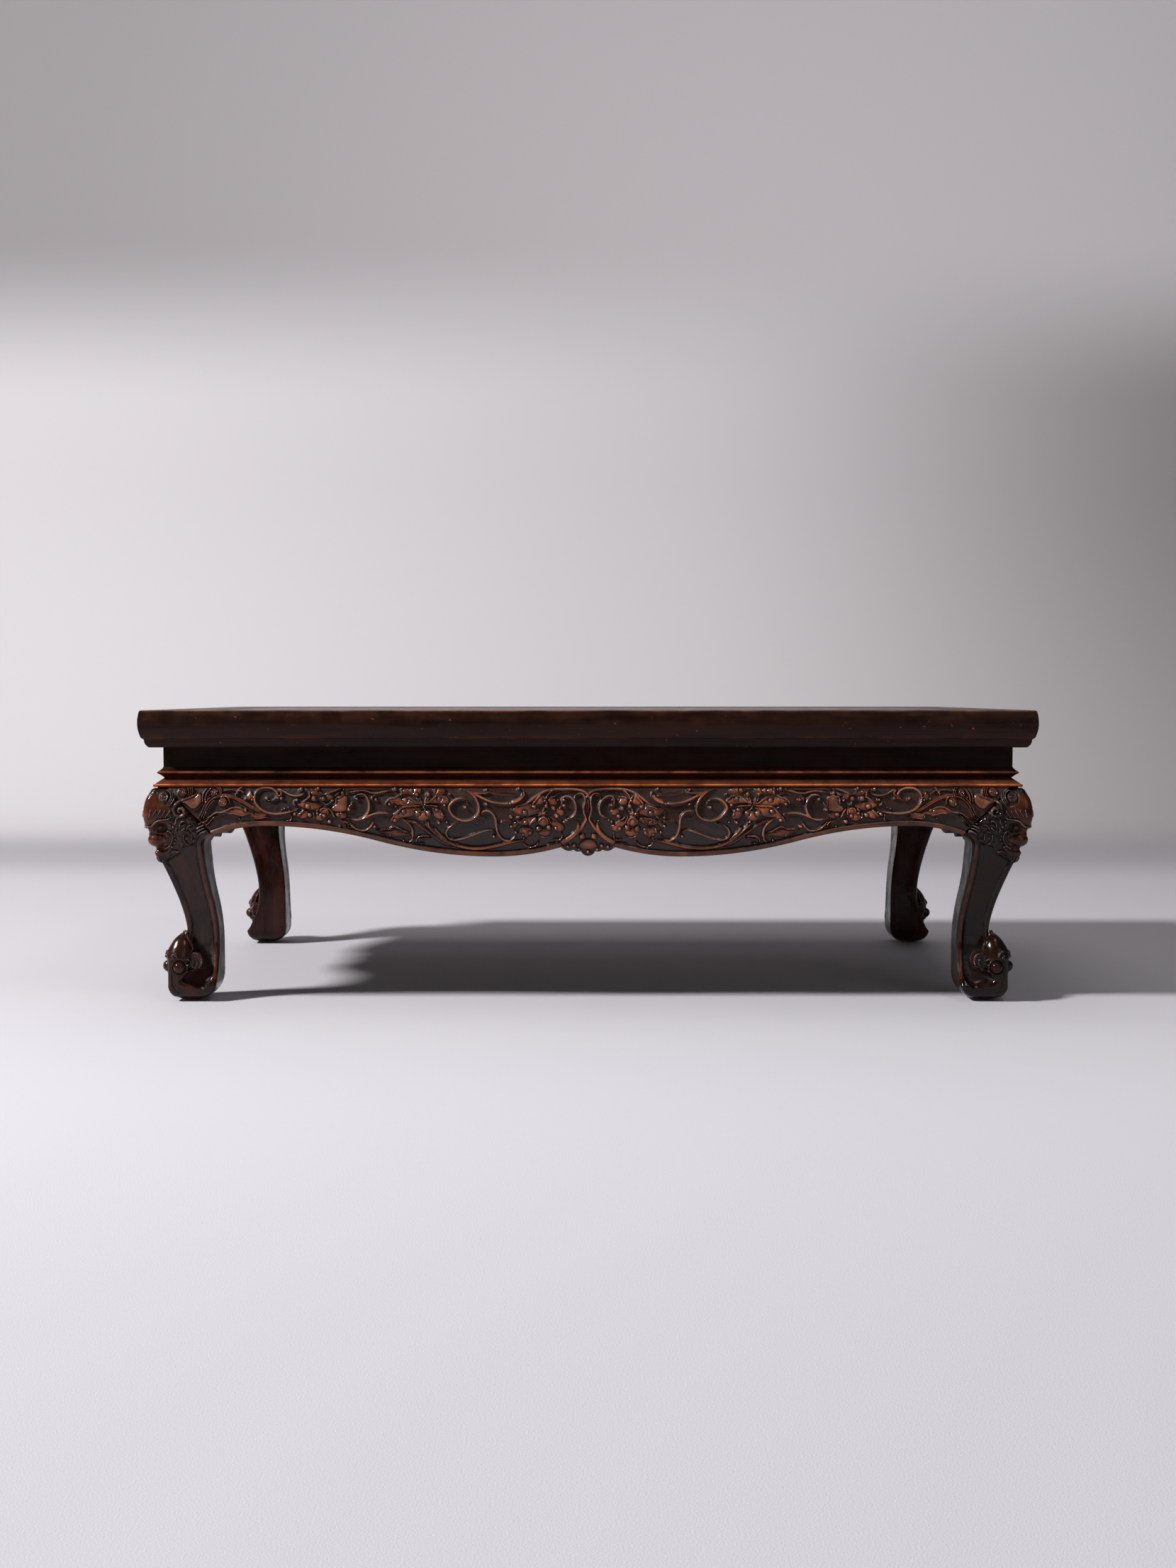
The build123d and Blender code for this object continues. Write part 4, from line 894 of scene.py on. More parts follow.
# The bead under the bevel: wear, brightened into a painted highlight line.
BAND_WEAR_AND_HIGHLIGHT = [(0, 0), (1.5, 0.25), (3, 0.02), (6, 0.1), (8, 0.15), (10, 0.05), (11.5, 1.5), (13.5, 1.5),
    (15, 0.5), (18, 0.1), (21, 0)]

for number, side in enumerate(SIDES):
    axis = SIDES[side][3]
    seed = 10 * number
    swept_member(f"rail_{side}", side, RAIL_SECTION, RAIL_WEAR, FRAME_WOOD[axis],
                 [f"top_rail_{side}"], seed=seed + 1)
    swept_member(f"waist_{side}", side, WAIST_SECTION, WAIST_WEAR, WAIST_WOOD[axis],
                 [f"waist_board_{side}"], dent=0.1, seed=seed + 3)
    swept_member(f"moulding_{side}", side, MOULDING_SECTION, MOULDING_WEAR_AND_HIGHLIGHT, SHADED_MOULDING_WOOD[axis],
                 [f"torus_moulding_{side}"], dent=0.15, seed=seed + 5, patchy=0.6)
    swept_member(f"bevel_{side}", side, BAND_SECTION, BAND_WEAR_AND_HIGHLIGHT, BEVEL_WOOD[axis],
                 [f"apron_{side}"], dent=0.15, seed=seed + 7, patchy=0.6)


# ---------------------------------------------------------------- panel boards and battens
PLANK_CREASE = 40
BOARD_ARRIS = 0.5
BATTEN_ARRIS = 2.5
BATTEN_TOP = PANEL_BOTTOM + 1


def plank(name, along, half_length, middle, section, material, nodes, stations, seed, waviness=0.12):
    """A straight piece along X or Y: a section of (across, height), clockwise as its run comes nearer."""
    section = np.array(section, float)
    run = np.linspace(-half_length, half_length, stations)[:, None]
    across = np.broadcast_to(section[None, :, 0], (stations, len(section)))
    run = np.broadcast_to(run, across.shape)
    height = section[None, :, 1] + waviness * lattice_noise(run / 60, across / 25 + 3, seed)
    if along == "x":
        points = np.stack([run, across + middle, height], -1)
    else:
        points = np.stack([across + middle, -run, height], -1)
    faces = ring_faces(stations, len(section))
    return mesh_piece(name, points.reshape(-1, 3), faces, material, nodes, sharp_angle=PLANK_CREASE)


def closed_section(corners, counts):
    """Straight stretches from each corner to the next one and back to the first."""
    points = []
    for corner, following, count in zip(corners, corners[1:] + corners[:1], counts):
        points += straight(corner, following, count)
    return points


PANEL_HALF = LENGTH / 2 - RAIL_WIDTH - PANEL_GAP
BOARD_DEPTH = DEPTH / 2 - RAIL_WIDTH - PANEL_GAP
BOARDS = {"panel_board_front": (-BOARD_DEPTH, -BOARD_GAP), "panel_board_back": (BOARD_GAP, BOARD_DEPTH)}
for name, (near, far) in BOARDS.items():
    corners = [(far, PANEL_BOTTOM), (far, PANEL_TOP - BOARD_ARRIS), (far - BOARD_ARRIS, PANEL_TOP),
               (near + BOARD_ARRIS, PANEL_TOP), (near, PANEL_TOP - BOARD_ARRIS), (near, PANEL_BOTTOM)]
    outline = closed_section(corners, (3, 2, 60, 2, 3, 40))
    plank(name.replace("panel_", "top_"), "x", PANEL_HALF, 0, outline, PANEL_WOOD, [name],
          stations=120, seed=31)
for node_name in ("batten_1", "batten_2", "batten_3"):
    low, high = node_box(node_name)
    middle = (low[0] + high[0]) / 2
    half = (high[0] - low[0]) / 2
    foot = low[2]
    flat = half - BATTEN_ARRIS
    outline = (
        straight((half, BATTEN_TOP), (half, foot + BATTEN_ARRIS), 5)
        + arc((half, foot + BATTEN_ARRIS), (half - 0.7, foot + 0.7), (flat, foot), 4)
        + straight((flat, foot), (-flat, foot), 6)
        + arc((-flat, foot), (0.7 - half, foot + 0.7), (-half, foot + BATTEN_ARRIS), 4)
        + straight((-half, foot + BATTEN_ARRIS), (-half, BATTEN_TOP), 5)
        + straight((-half, BATTEN_TOP), (half, BATTEN_TOP), 4)
    )
    plank(node_name.replace("batten", "crosspiece"), "y", DEPTH / 2 - RAIL_WIDTH, middle, outline[::-1],
          PLAIN_WOOD, [node_name], stations=60, seed=37, waviness=0.2)


# ---------------------------------------------------------------- the carved aprons
CUSP = (-27.5, 163.3)
PENDANT_DROP = 9.6
CROWN_SHARE = 0.148
CROWN_HEIGHT = 185.6
DIP_SHARE = 0.807
DIP_HEIGHT = 153.3
# Points of the pendant's lobes, as shares of the cusp's distance from the middle and of the drop.
LOBES = ((0.76, 0.48), (0.545, 0.34), (0.42, 0.55), (0.27, 0.49), (0, 1))
KNEE_RADIUS = 68.0
KNEE_CENTRE = (73.0, 194.15)
KNEE_END = 169.63
KNEE_END_INSET = 9.58
LIP_SLOPE = 0.387
LIP_CURVE = 0.01116


def underside(run):
    """An apron's lower edge from the left mitre to the right one: two arches and a lobed pendant."""
    start = MITRE_FOOT - run / 2
    reach = CUSP[0] - start
    crown = (start + CROWN_SHARE * reach, CROWN_HEIGHT)
    dip = (start + DIP_SHARE * reach, DIP_HEIGHT)
    slope = ((crown[0] + dip[0]) / 2, (crown[1] + dip[1]) / 2)
    lobe = [(across * CUSP[0], CUSP[1] - down * PENDANT_DROP) for across, down in LOBES]
    left = level_arc(crown, (start, MITRE_FOOT_HEIGHT))[::-1] + level_arc(crown, slope)
    left += level_arc(dip, slope)[::-1] + level_arc(dip, CUSP)
    left += arc(CUSP, lobe[0], lobe[1], 16) + arc(lobe[1], lobe[2], lobe[3], 10)
    left += arc(lobe[3], lobe[4], (-lobe[3][0], lobe[3][1]), 24)[:13]
    left = np.array(left)
    return np.vstack([left, (left * [-1, 1])[::-1][1:]])


def base_inset(z):
    """The plain bulge under the carving, and the lip below it, which turns in."""
    below = KNEE_END - z
    bulge = KNEE_CENTRE[0] - np.sqrt(np.maximum(KNEE_RADIUS**2 - (z - KNEE_CENTRE[1]) ** 2, 1))
    return np.where(z >= KNEE_END, bulge, KNEE_END_INSET + LIP_SLOPE * below - LIP_CURVE * below**2)


LOW_LEAF = [(-185, 192), (-175, 188), (-165, 181), (-157, 174.5), (-148, 168), (-138, 164)]
LOW_PETAL = [(-214, 181), (-200, 183.5), (-193, 182.8), (-185, 179), (-181, 175), (-192, 173.5),
    (-200, 173), (-208, 175.5)]
PENDANT_PETAL = [(-8, 163), (-6, 168), (-3, 170), (2.1, 171.5), (6, 170), (6, 161), (2.1, 160), (-4, 161)]
PENDANT_KNOBS = [(-24.6, 163.6, 1.6), (-18.6, 163.6, 1.9), (-12.2, 164.6, 2.5), (-7.4, 160.6, 2),
    (2.1, 157.6, 2.4), (-4, 174, 3.4)]
DOUBLE_LEAF = [(-386, 212.5), (-381, 215.5), (-374, 216.3), (-367, 215.3), (-359, 212.5), (-351, 208.5),
    (-344, 204.5), (-337, 201), (-330, 198.6)]


FLOWERS = (FLOWER_A, FLOWER_B, FLOWER_C)
CARVED_AREA = ((-440, 148), (16, 227))
CURL_RIDGE = (0.75, 2.9)


def long_carving():
    """Relief of the left half of a long apron, a little past its middle."""
    relief = Relief(*CARVED_AREA)
    relief.ridge(LOW_LEAF, 2.4, 1.6)
    relief.mass(LOW_PETAL, 1.5)
    relief.mass(PENDANT_PETAL, 1.9)
    relief.ridges(UNDER_FLOWERS)
    for drawing in FLOWERS:
        relief.petals(drawing)
    relief.ridge(DOUBLE_LEAF, 2.4, 2.7, lines=2)
    relief.ridge(CENTRE_STEM, 2.3, 2.9, (1.0, 0.6))
    relief.ridges(RING_VINES + TOP_VINES)
    for drawing in FLOWERS:
        relief.flower(drawing)
    relief.knobs(PENDANT_KNOBS, 3.6)
    relief.petals(LEG_END)
    relief.knobs(LEG_END["knobs"])
    for x, z, radius, turn in LEG_END["whorls"]:
        relief.whorl(x, z, radius, 1.8, 2.7, turn)
    for x, z, radii, start, end in LEG_END["rings"]:
        for radius in radii:
            relief.ridge(ring_part(x, z, radius, start, end), *CURL_RIDGE)
    relief.mass(LEG_END["ear"], 3.2, 3.0, 0.1)
    relief.ridges(LEG_END["ridges"], moat=0.4)
    relief.height = relief.blurred(relief.cell)
    return relief


CARVING = long_carving()
BROAD_FORMS = CARVING.blurred(2.4)
HOLLOWS = np.clip((BROAD_FORMS - CARVING.height) / 1.5, 0, 1)
BODIES = np.clip(BROAD_FORMS - 1.0, 0, 1)
SYMMETRY = 2.1
DRAWN_HALF = 434
OVERLAP = 15
SHORT_APRON_SEAM = (142, 150)


def long_field(x, z):
    """Height of the long apron's carving, the grime in it and its broad parts.

    The middle of the apron reads the drawing at SYMMETRY, and the shift fades out towards the leg.
    """
    left = -np.abs(x) + SYMMETRY * (1 - np.abs(x) / DRAWN_HALF)
    right = np.abs(x) + SYMMETRY
    raised, hollow, body = [CARVING.read(raster, left, z) for raster in (CARVING.height, HOLLOWS, BODIES)]
    past = np.where(right < OVERLAP, CARVING.read(CARVING.height, right, z), 0)
    return np.maximum(raised, past), hollow * (past < 1), body


def short_field(x, z, z_low, long_edge):
    """The same drawing on a short apron: its middle part, then the end group beside the leg."""
    shift = LENGTH / 2 - DEPTH / 2
    share = smoothstep(*SHORT_APRON_SEAM, np.abs(x))
    fields = []
    for along in (np.abs(x), np.abs(x) + shift):
        low = np.interp(along, long_edge[:, 0], long_edge[:, 1])
        height = SHOULDER_HEIGHT - (SHOULDER_HEIGHT - z) * (SHOULDER_HEIGHT - low) / (SHOULDER_HEIGHT - z_low)
        fields.append(long_field(along, height))
    return [middle * (1 - share) + end * share for middle, end in zip(*fields)]


APRON_ROWS = 112
APRON_CREASE = 60
END_LENGTH = 78
END_SPACING = 0.42
MIDDLE_SPACING = 0.72
END_GAP = 0.15
GROUND = -1.6
TOOL_MARKS = 0.12
TOOL_MARK_SIZE = 2.2
CARVING_SCALE = 1.1
BEAD_MIDDLE = 2.6
BEAD_HALF = 2.8
BEAD_HEIGHT = 1.5
BEAD_EDGE = 5.3
BEAD_QUIRK = 5.6
# Where the painted highlight line runs along the bead.
BEAD_PAINTED_HIGHLIGHT = 4.3
BEAD_REACH = 8.0
BARE_PENDANT = (24.5, 28.5)
HAIR_START = (372, 384)
HAIR_CURL = (404.5, 209, 9)


def above_edge(edge, x, z):
    """Distance from the underside, up to BEAD_REACH, with no bead along the pendant."""
    band = Relief(edge.min(0) - 9, edge.max(0) + 9)
    window, distance, _, _ = band.near(edge, BEAD_REACH)
    origin = band.origin + band.cell * np.array([window[0].start, window[1].start])
    above = sample(np.minimum(distance, BEAD_REACH), origin, band.cell, x, z)
    above = np.where(z > edge[:, 1].max() + 7, BEAD_REACH, above)
    return above + BEAD_REACH * (1 - smoothstep(*BARE_PENDANT, np.abs(x)))


def carved_apron(side, part, start, end, spacing, seed):
    """One stretch of an apron, from `start` to `end` as shares of the half length of its underside."""
    _, run, _, axis = SIDES[side]
    foot = run / 2 - MITRE_FOOT
    edge = underside(run)
    s = np.linspace(start, end, int((end - start) * foot / spacing))[:, None]
    t = np.linspace(1, 0, APRON_ROWS)[None, :]
    z_low = np.interp(s * foot, edge[:, 0], edge[:, 1])
    z = z_low + t * (SHOULDER_HEIGHT - z_low)
    x = s * (foot * (1 - t) + (run / 2 - MITRE_START) * t)
    drawn_x = x + 0.45 * lattice_noise(x / 24, z / 20, seed)
    drawn_z = z + 0.35 * lattice_noise(x / 19 + 9, z / 22, seed + 1)
    if run == LENGTH:
        raised, hollow, body = long_field(drawn_x, drawn_z)
    else:
        raised, hollow, body = short_field(drawn_x, drawn_z, z_low, underside(LENGTH))

    above = above_edge(edge, x, z)
    on_bead = above < BEAD_EDGE
    top_row = t > 0.9999
    ground = GROUND + TOOL_MARKS * lattice_noise(x / TOOL_MARK_SIZE, z / TOOL_MARK_SIZE, seed + 2)
    bead = 0.2 + BEAD_HEIGHT * np.sqrt(np.clip(1 - ((above - BEAD_MIDDLE) / BEAD_HALF) ** 2, 0, 1))
    gap = smoothstep(4.9, 5.7, above)
    carving = ground + CARVING_SCALE * raised * smoothstep(5.1, 6.3, above)
    lift = np.where(top_row, ground, np.where(on_bead, bead, 0) * (1 - gap) + gap * carving)

    from_middle = LENGTH / 2 - run / 2 + np.abs(x)
    curl_x, curl_z, curl_reach = HAIR_CURL
    from_curl = ((from_middle - curl_x) / curl_reach) ** 2 + ((z - curl_z) / curl_reach) ** 2
    fine_hair = smoothstep(*HAIR_START, from_middle) * (1 - np.exp(-(from_curl**2)))
    wear_and_highlight = smoothstep(1.2, 2.6, raised) * (0.4 + 0.6 * body) * (1 - 0.7 * fine_hair)
    wear_and_highlight = np.where(on_bead, 0.4 * smoothstep(0.9, 1.6, bead), wear_and_highlight)
    wear_and_highlight = wear_and_highlight * (0.7 + 0.4 * lattice_noise(x / 9, z / 7, seed + 3))
    # Painted highlight: pale colour on the crests of raised ridges, and a thin line along the bead.
    painted_highlight = smoothstep(2.3, 3.0, raised) * (0.6 - 0.45 * body + 0.15 * fine_hair)
    painted_highlight = np.where(on_bead, 0.16 * np.exp(-(((above - BEAD_PAINTED_HIGHLIGHT) / 0.45) ** 2)), painted_highlight)
    # Darker and rougher in the hollows, on the bare ground and along the quirk above the bead.
    hollows_and_shade = np.where(above < 5.0, 0, np.maximum(hollow, 0.55 * (1 - smoothstep(0.1, 0.9, raised))))
    hollows_and_shade = np.maximum(hollows_and_shade, 0.9 * np.exp(-(((above - BEAD_QUIRK) / 0.5) ** 2)))

    slope = (base_inset(z + 0.1) - base_inset(z - 0.1)) / 0.2
    length_of_normal = np.sqrt(1 + slope**2)
    inset = base_inset(z) - lift / length_of_normal
    height = np.where(top_row, z, z + lift * slope / length_of_normal)
    x = x - np.sign(x) * END_GAP * (np.abs(s) > 0.999)

    zero = np.zeros_like(z_low)
    x, wear_and_highlight, painted_highlight = [np.hstack([v[:, :1], v, v[:, -1:]]) for v in (x, wear_and_highlight, painted_highlight)]
    inset = np.hstack([zero + MEMBER_BACK, inset, zero + MEMBER_BACK])
    height = np.hstack([zero + SHOULDER_HEIGHT, height, z_low])
    # Painted shade: the faces behind and under the carved face are darkened fully.
    hollows_and_shade = np.hstack([zero + 1, hollows_and_shade, zero + 1])
    lift = np.hstack([zero, lift, zero])
    points = turn_to_side(np.stack([x, inset, height], -1), side).reshape(-1, 3)
    faces = split_along_creases(ring_faces(len(s), APRON_ROWS + 2), lift.ravel())
    mesh_piece(f"carved_apron_{side}_{part}", points, faces, CARVED_WOOD[axis],
               [f"apron_{side}"], {"wear_and_highlight": wear_and_highlight, "hollows_and_shade": hollows_and_shade, "painted_highlight": painted_highlight}, APRON_CREASE)


for number, side in enumerate(SIDES):
    turn = 1 - END_LENGTH / (SIDES[side][1] / 2 - MITRE_FOOT)
    seed = 50 + 10 * number
    carved_apron(side, "left", -1, -turn, END_SPACING, seed)
    carved_apron(side, "middle", -turn, turn, MIDDLE_SPACING, seed)
    carved_apron(side, "right", turn, 1, END_SPACING, seed)


# ---------------------------------------------------------------- the legs
# Drawn on the front face of the front left leg, as (inset from the frame's left end, height).
# A mass is (how far it stands out, width of its rounded edge, dome, outline), a lump is (x, height, radius,
# rise), a flute is (x and height of its top, x of its foot), and foot rings end in their directions, half
# width and height.
MASK_MASSES = [
    (1.7, 5.5, 0.12, [(-6, 186), (-6, 227), (8, 227), (17, 224.5), (19.5, 209), (30, 204.5), (34.5, 196.5),
        (30, 193), (22, 191.6), (16.4, 189.2), (12, 185.4)]),
    (1.2, 2.5, 0.03, [(34, 190), (39, 194.5), (47, 198), (55, 196), (60, 186), (58, 172), (52, 166.4),
        (44, 166), (38, 165), (33.5, 170), (33, 180)]),
    (1.3, 2.4, 0.1, [(-6, 149), (-6, 163), (14, 163), (24, 163.5), (30.5, 163), (30.5, 156), (26, 150.4),
        (20, 147)]),
    (1.1, 2.2, 0.1, [(22, 165.4), (28, 165.4), (31.4, 170), (31.4, 176), (28, 179.6), (23, 178)]),
    (2.2, 1.4, 0.1, [(25.1, 154.9), (29.5, 158.5), (33.1, 160), (37.9, 159.2), (37.5, 157.1), (32.4, 155.6),
        (27.3, 153.4)]),
]
MASK_LUMPS = [(45, 186, 3.8, 1.5), (52, 183.2, 3.8, 1.5), (41.4, 179.8, 3, 1.2), (46.6, 179.6, 2.6, 1.1),
    (56.2, 177.6, 4.6, 1.9), (47.8, 172.4, 4.2, 1.6), (54.6, 170.6, 3.2, 1.3), (39.9, 173.2, 3, 1.2),
    (51.2, 191.4, 4.6, 1.6), (42.4, 167, 2.4, 1)]
MASK_RIDGES = [
    (0.95, 3.4, [(8.2, 184.8), (9.6, 184.8), (11.7, 184.4), (13.8, 186.5), (16.4, 189), (20, 190.9),
        (25.1, 191.7), (29.5, 192.4), (33.4, 195.2)]),
    (0.8, 2.4, [(7.6, 184.6), (8.8, 183.6), (10.4, 183)]),
    (2.1, 3.3, [(46.5, 213.6), (42.6, 211.6), (39.4, 209.6), (36.8, 206.3), (35.8, 201.4), (37.6, 197),
        (41.9, 195.3), (45.4, 197.2), (46.1, 200.6), (43.6, 203.3), (40.6, 202.6), (40, 200),
        (41.8, 199.2)]),
    (0.9, 2.9, [(49.4, 200), (45.4, 196.6), (40.4, 194.1), (37.9, 191.9), (37.5, 189), (35.3, 186.1)]),
    (0.8, 2.9, [(26.6, 180.3), (30.2, 179.6), (33.1, 175.9), (32.8, 170.9), (30.2, 165.8), (27.3, 162.9),
        (23.7, 160.7), (23, 157.1)]),
    (0.9, 3.4, [(45.5, 177.4), (44.4, 172.3), (46.3, 168), (49.2, 165.1)]),
    (0.8, 3.6, [(41.3, 183.6), (41.4, 186.8), (43.2, 189.4), (45.9, 190.2), (48.2, 188.6)]),
    (0.7, 3.4, [(48.4, 180.4), (49, 183.6), (51.2, 185.8), (53.6, 186.2)]),
    (0.8, 3.6, [(42.6, 180.3), (44.8, 181.8), (46.6, 183.8)]),
    (0.7, 3.2, [(46, 176.6), (48.4, 178.9), (51, 179.2)]),
    (0.7, 3, [(52.2, 178.4), (53, 174.4), (52, 169.8)]),
    (0.7, 3, [(38.4, 184.2), (37.2, 181.2), (38.2, 177.8)]),
    (0.8, 2.4, [(31, 189), (33.1, 190.5)]),
    (0.8, 2.2, [(43.3, 165.8), (40.4, 164.7)]),
    (0.9, 2.2, [(59.8, 186.6), (63, 188.6)]),
    (1, 2.8, [(57.8, 181.6), (61.4, 184.2), (66.2, 186.4)]),
    (1, 2.8, [(57.6, 177.6), (62, 181.4), (68.2, 183.6)]),
    (1.1, 2.8, [(57.4, 172.6), (62.4, 177.8), (69.2, 180.9)]),
    (0.8, 2.6, [(16.2, 152.4), (17.6, 149.2), (19.2, 146.4)]),
    (0.8, 2.6, [(19.2, 153), (20.6, 149.8), (21.9, 147.2)]),
    (0.8, 2.6, [(22.6, 152.8), (24, 150)]),
]
MASK_KNOBS = [(35.3, 174.5, 1.3), (36.1, 170.9, 1.3), (34.6, 167.2, 1.4), (31.4, 163.4, 1.4),
    (33.9, 178.9, 0.9), (49.2, 171.6, 0.9), (34.6, 184, 1.5), (31.2, 186.2, 1.2)]
FLUTES = [(12, 202.5, 10.2), (17.9, 202.8, 13.7), (22.6, 202.7, 18.4), (27, 201.8, 22), (32, 201.6, 26.6)]
BROW = [(14, 224.4), (24, 224.6), (40, 224.7)]
# Hollows of the eye, the cheek and the mouth: (x, height, half width, half height, depth).
MASK_SINKS = [(21, 183.6, 7.8, 4.8, 3.8), (20, 170.5, 11.5, 9.5, 2.6), (17.5, 160.8, 9, 3, 1.8)]
# Balls of the mask, where X and Y are both insets: (centre, radius, flattening) and (centre, radius, blend).
SNOUT = [((15.8, 15.8, 170.6), 10, 1.3), ((11.8, 11.8, 176.2), 3.9, 1)]
CHEEKS_AND_EYES = [
    ((24.4, 11.8, 171.4), 4.2, 0.5),
    ((28, 8.6, 175.7), 2.5, 0.3),
    ((20.4, 9.2, 184), 3.3, 0.3),
]
PUPIL = (20.2, 5.7, 184)
FOOT_RIDGES = [
    (0.9, 1.6, [(27.6, 53.4), (30.6, 52.8), (32.8, 50.4), (33.4, 47)]),
    (0.8, 1.4, [(26.8, 49), (28.8, 48.6), (30, 46.2)]),
    (1.1, 1.9, [(41.4, 31.8), (45.5, 32.4), (49.8, 33.3)]),
]
FOOT_RINGS = [(42.2, 41.6, 3.3, -80, 70, 0.75, 1.5), (48.9, 41, 3.6, -85, 80, 0.75, 1.4),
    (49, 42.4, 8.4, -60, 96, 1.15, 1)]
TOE_GROOVE = [(28.2, 46), (27.2, 38), (27.2, 29), (27.8, 21.6), (29.6, 14.9), (33.6, 10.2), (39, 7.6)]
SCOOP = [(44.6, 34.6), (42.9, 30.4), (39.8, 26.6), (37, 23.6), (39.3, 20.6), (42.9, 18.9), (46.6, 17.2),
    (51, 14.9), (56.2, 13.6), (60.6, 15.6), (64.4, 19.6), (67, 25.6), (68.2, 32.3), (68.4, 39.7)]
MASK_FOOT = [(58, 168.6), (52, 166.2), (46, 165.4), (41, 163.4), (38, 157.2), (31, 153.5), (25, 149.4),
    (21.6, 145.8)]
# The bud above the foot: (height, radius, inset of its middle).
BUD = [(40, 14, 33.2), (46.7, 14, 33.2), (52.6, 13, 33.7), (56, 12.4, 34.2), (59.3, 11.2, 34.8),
    (62.5, 9.3, 34.9), (65.3, 7.2, 35), (68, 4.8, 35.5), (70.5, 2.6, 36.6), (73.2, 0, 39.4)]
BUD_TIP = 73.2
LOBE_CENTRE = (49, 42.4)
LOBE_RADIUS = 9.4
PEARL = (35.2, 21.2, 36.5)
PEARL_RADIUS = 6.3
PEARL_CLEARING = 8.4
FOLD = [(39.7, 37, 72.4), (39.6, 34.8, 68.4), (41.8, 33.4, 65), (44.3, 32.2, 62), (46, 31.2, 59),
    (46.9, 30.2, 55.3), (45.3, 28.9, 50.8), (43, 28.2, 48.6)]
OUTER_EDGE = [(12.5, 225.2), (9.6, 218.8), (7, 213), (5.3, 206), (4.6, 200), (4.6, 194), (5.2, 188),
    (6.4, 181), (8.2, 174), (10.2, 167), (12.9, 159.5), (16.2, 151.5), (19.4, 144.7), (24.5, 131),
    (28.8, 118.6), (33.4, 104), (36.9, 90), (39.1, 77), (39.6, 64)]
FRONT_PROFILE = np.array([(22.2, 0), (22.2, 17), (28, 40)] + OUTER_EDGE[::-1])
TOE = (22.2, 17.0)
TOE_INSET = 26.2
TOE_RADIUS = 17
INNER_INSET = 72.6
HEEL_RADIUS = 23.0
INNER_ANKLE = (INNER_INSET, 55.0)
CALF = (62.2, 164.0)
FIELD_DEPTH = 1.9
LEG_FACE = ((-4, 0), (80, 228))
ARRIS_ROUNDING = 2.4
KNEE_ROUNDING = 6.5
FOOT_ROUNDING = 3.0
FOOT_TOP = 76
SNOUT_ZONE = (155, 192)
LEG_BEAD = 5.2
LEG_BEAD_MIDDLE = 2.5
LEG_BEAD_HALF = 2.7
LEG_BEAD_RISE = 1.2
LEG_BEAD_TOP = 181
ARRIS_BAND = 5.0
EAR_CURL = (25.1, 215.2)
POST_MIDDLE = 47
POST_HALF = 17
POST_FOOT = 176
SHELL = 2.5
LEG_CELL = 0.6
LEG_ADAPTIVITY = 0.06


def inner_edge():
    """Inner edge of a leg, from the heel up to the foot of the mitre."""
    half_way = ((INNER_ANKLE[0] + CALF[0]) / 2, (INNER_ANKLE[1] + CALF[1]) / 2)
    edge = [(INNER_INSET, HEEL_RADIUS)] + upright_arc(INNER_ANKLE, half_way)
    edge += upright_arc(CALF, half_way)[::-1][1:] + upright_arc(CALF, (MITRE_FOOT, MITRE_FOOT_HEIGHT))[1:]
    return np.array(edge)


def leg_outline():
    """A leg seen square on, as (inset, height), all the way round."""
    outer = [tuple(p) for p in catmull(OUTER_EDGE, 2.0)]
    toe = upright_arc(OUTER_EDGE[-1], TOE)[1:]
    sole_start = (TOE[0] + TOE[1], 0)
    sole = arc(TOE, (TOE[0] + 5, 5.0), sole_start, 12)[1:] + [sole_start]
    heel_start = (INNER_INSET - HEEL_RADIUS, 0)
    swing = HEEL_RADIUS * (1 - math.sqrt(0.5))
    heel = arc(heel_start, (INNER_INSET - swing, swing), (INNER_INSET, HEEL_RADIUS), 12)
    inner = [tuple(p) for p in inner_edge()]
    return np.array(outer + toe + sole + heel + inner + [(MITRE_START, SHOULDER_HEIGHT)])


def mask_and_scrolls():
    """Relief of a leg's face: the animal mask of the knee, and the curls of the foot."""
    relief = Relief(*LEG_FACE)
    nx, nz = relief.height.shape
    x = relief.origin[0] + relief.cell * np.arange(nx)[:, None]
    z = relief.origin[1] + relief.cell * np.arange(nz)[None, :]
    for height, edge, dome, line in MASK_MASSES:
        relief.mass(line, height, edge, dome)
    relief.whorl(*EAR_CURL, 5.4, 1.7, 2.4, 40)
    for lump_x, lump_z, radius, rise in MASK_LUMPS:
        relief.mass(ring_part(lump_x, lump_z, radius, 0, 330, 12), 1.5, 0.8, rise / radius * 1.4)
    for radius in (7.0, 8.7, 10.4):
        relief.ridge(ring_part(*EAR_CURL, radius, 78, -64), *CURL_RIDGE, (0.5, 0.4))
    for top_x, top_z, foot_x in FLUTES:
        bends = ((0, 0), (0.3, 3.2), (0.8, 6.4), (1, 9.4))
        flute = [(top_x * (1 - share) + foot_x * share, top_z - down) for share, down in bends]
        relief.ridge(flute, 0.6, 3.4, (0.3, 0.3))
    relief.ridges(MASK_RIDGES)
    relief.knobs(MASK_KNOBS, 2.8)
    relief.ridge(BROW, 1.1, 1.2, (0.8, 1))
    for sink_x, sink_z, across, up, deep in MASK_SINKS:
        from_sink = ((x - sink_x) / across) ** 2 + ((z - sink_z) / up) ** 2
        relief.height -= deep * np.exp(-(from_sink**2)).astype(np.float32)
    relief.ridges(FOOT_RIDGES)
    for ring_x, ring_z, radius, start, end, width, height in FOOT_RINGS:
        relief.ridge(ring_part(ring_x, ring_z, radius, start, end), width, height)
    relief.knobs([(dot_x, dot_z, 0.75) for dot_x, dot_z in ring_part(*LOBE_CENTRE, 8.0, -22, 84, 8)], 1.9)
    relief.groove(TOE_GROOVE, 0.75, 0.9)
    return relief


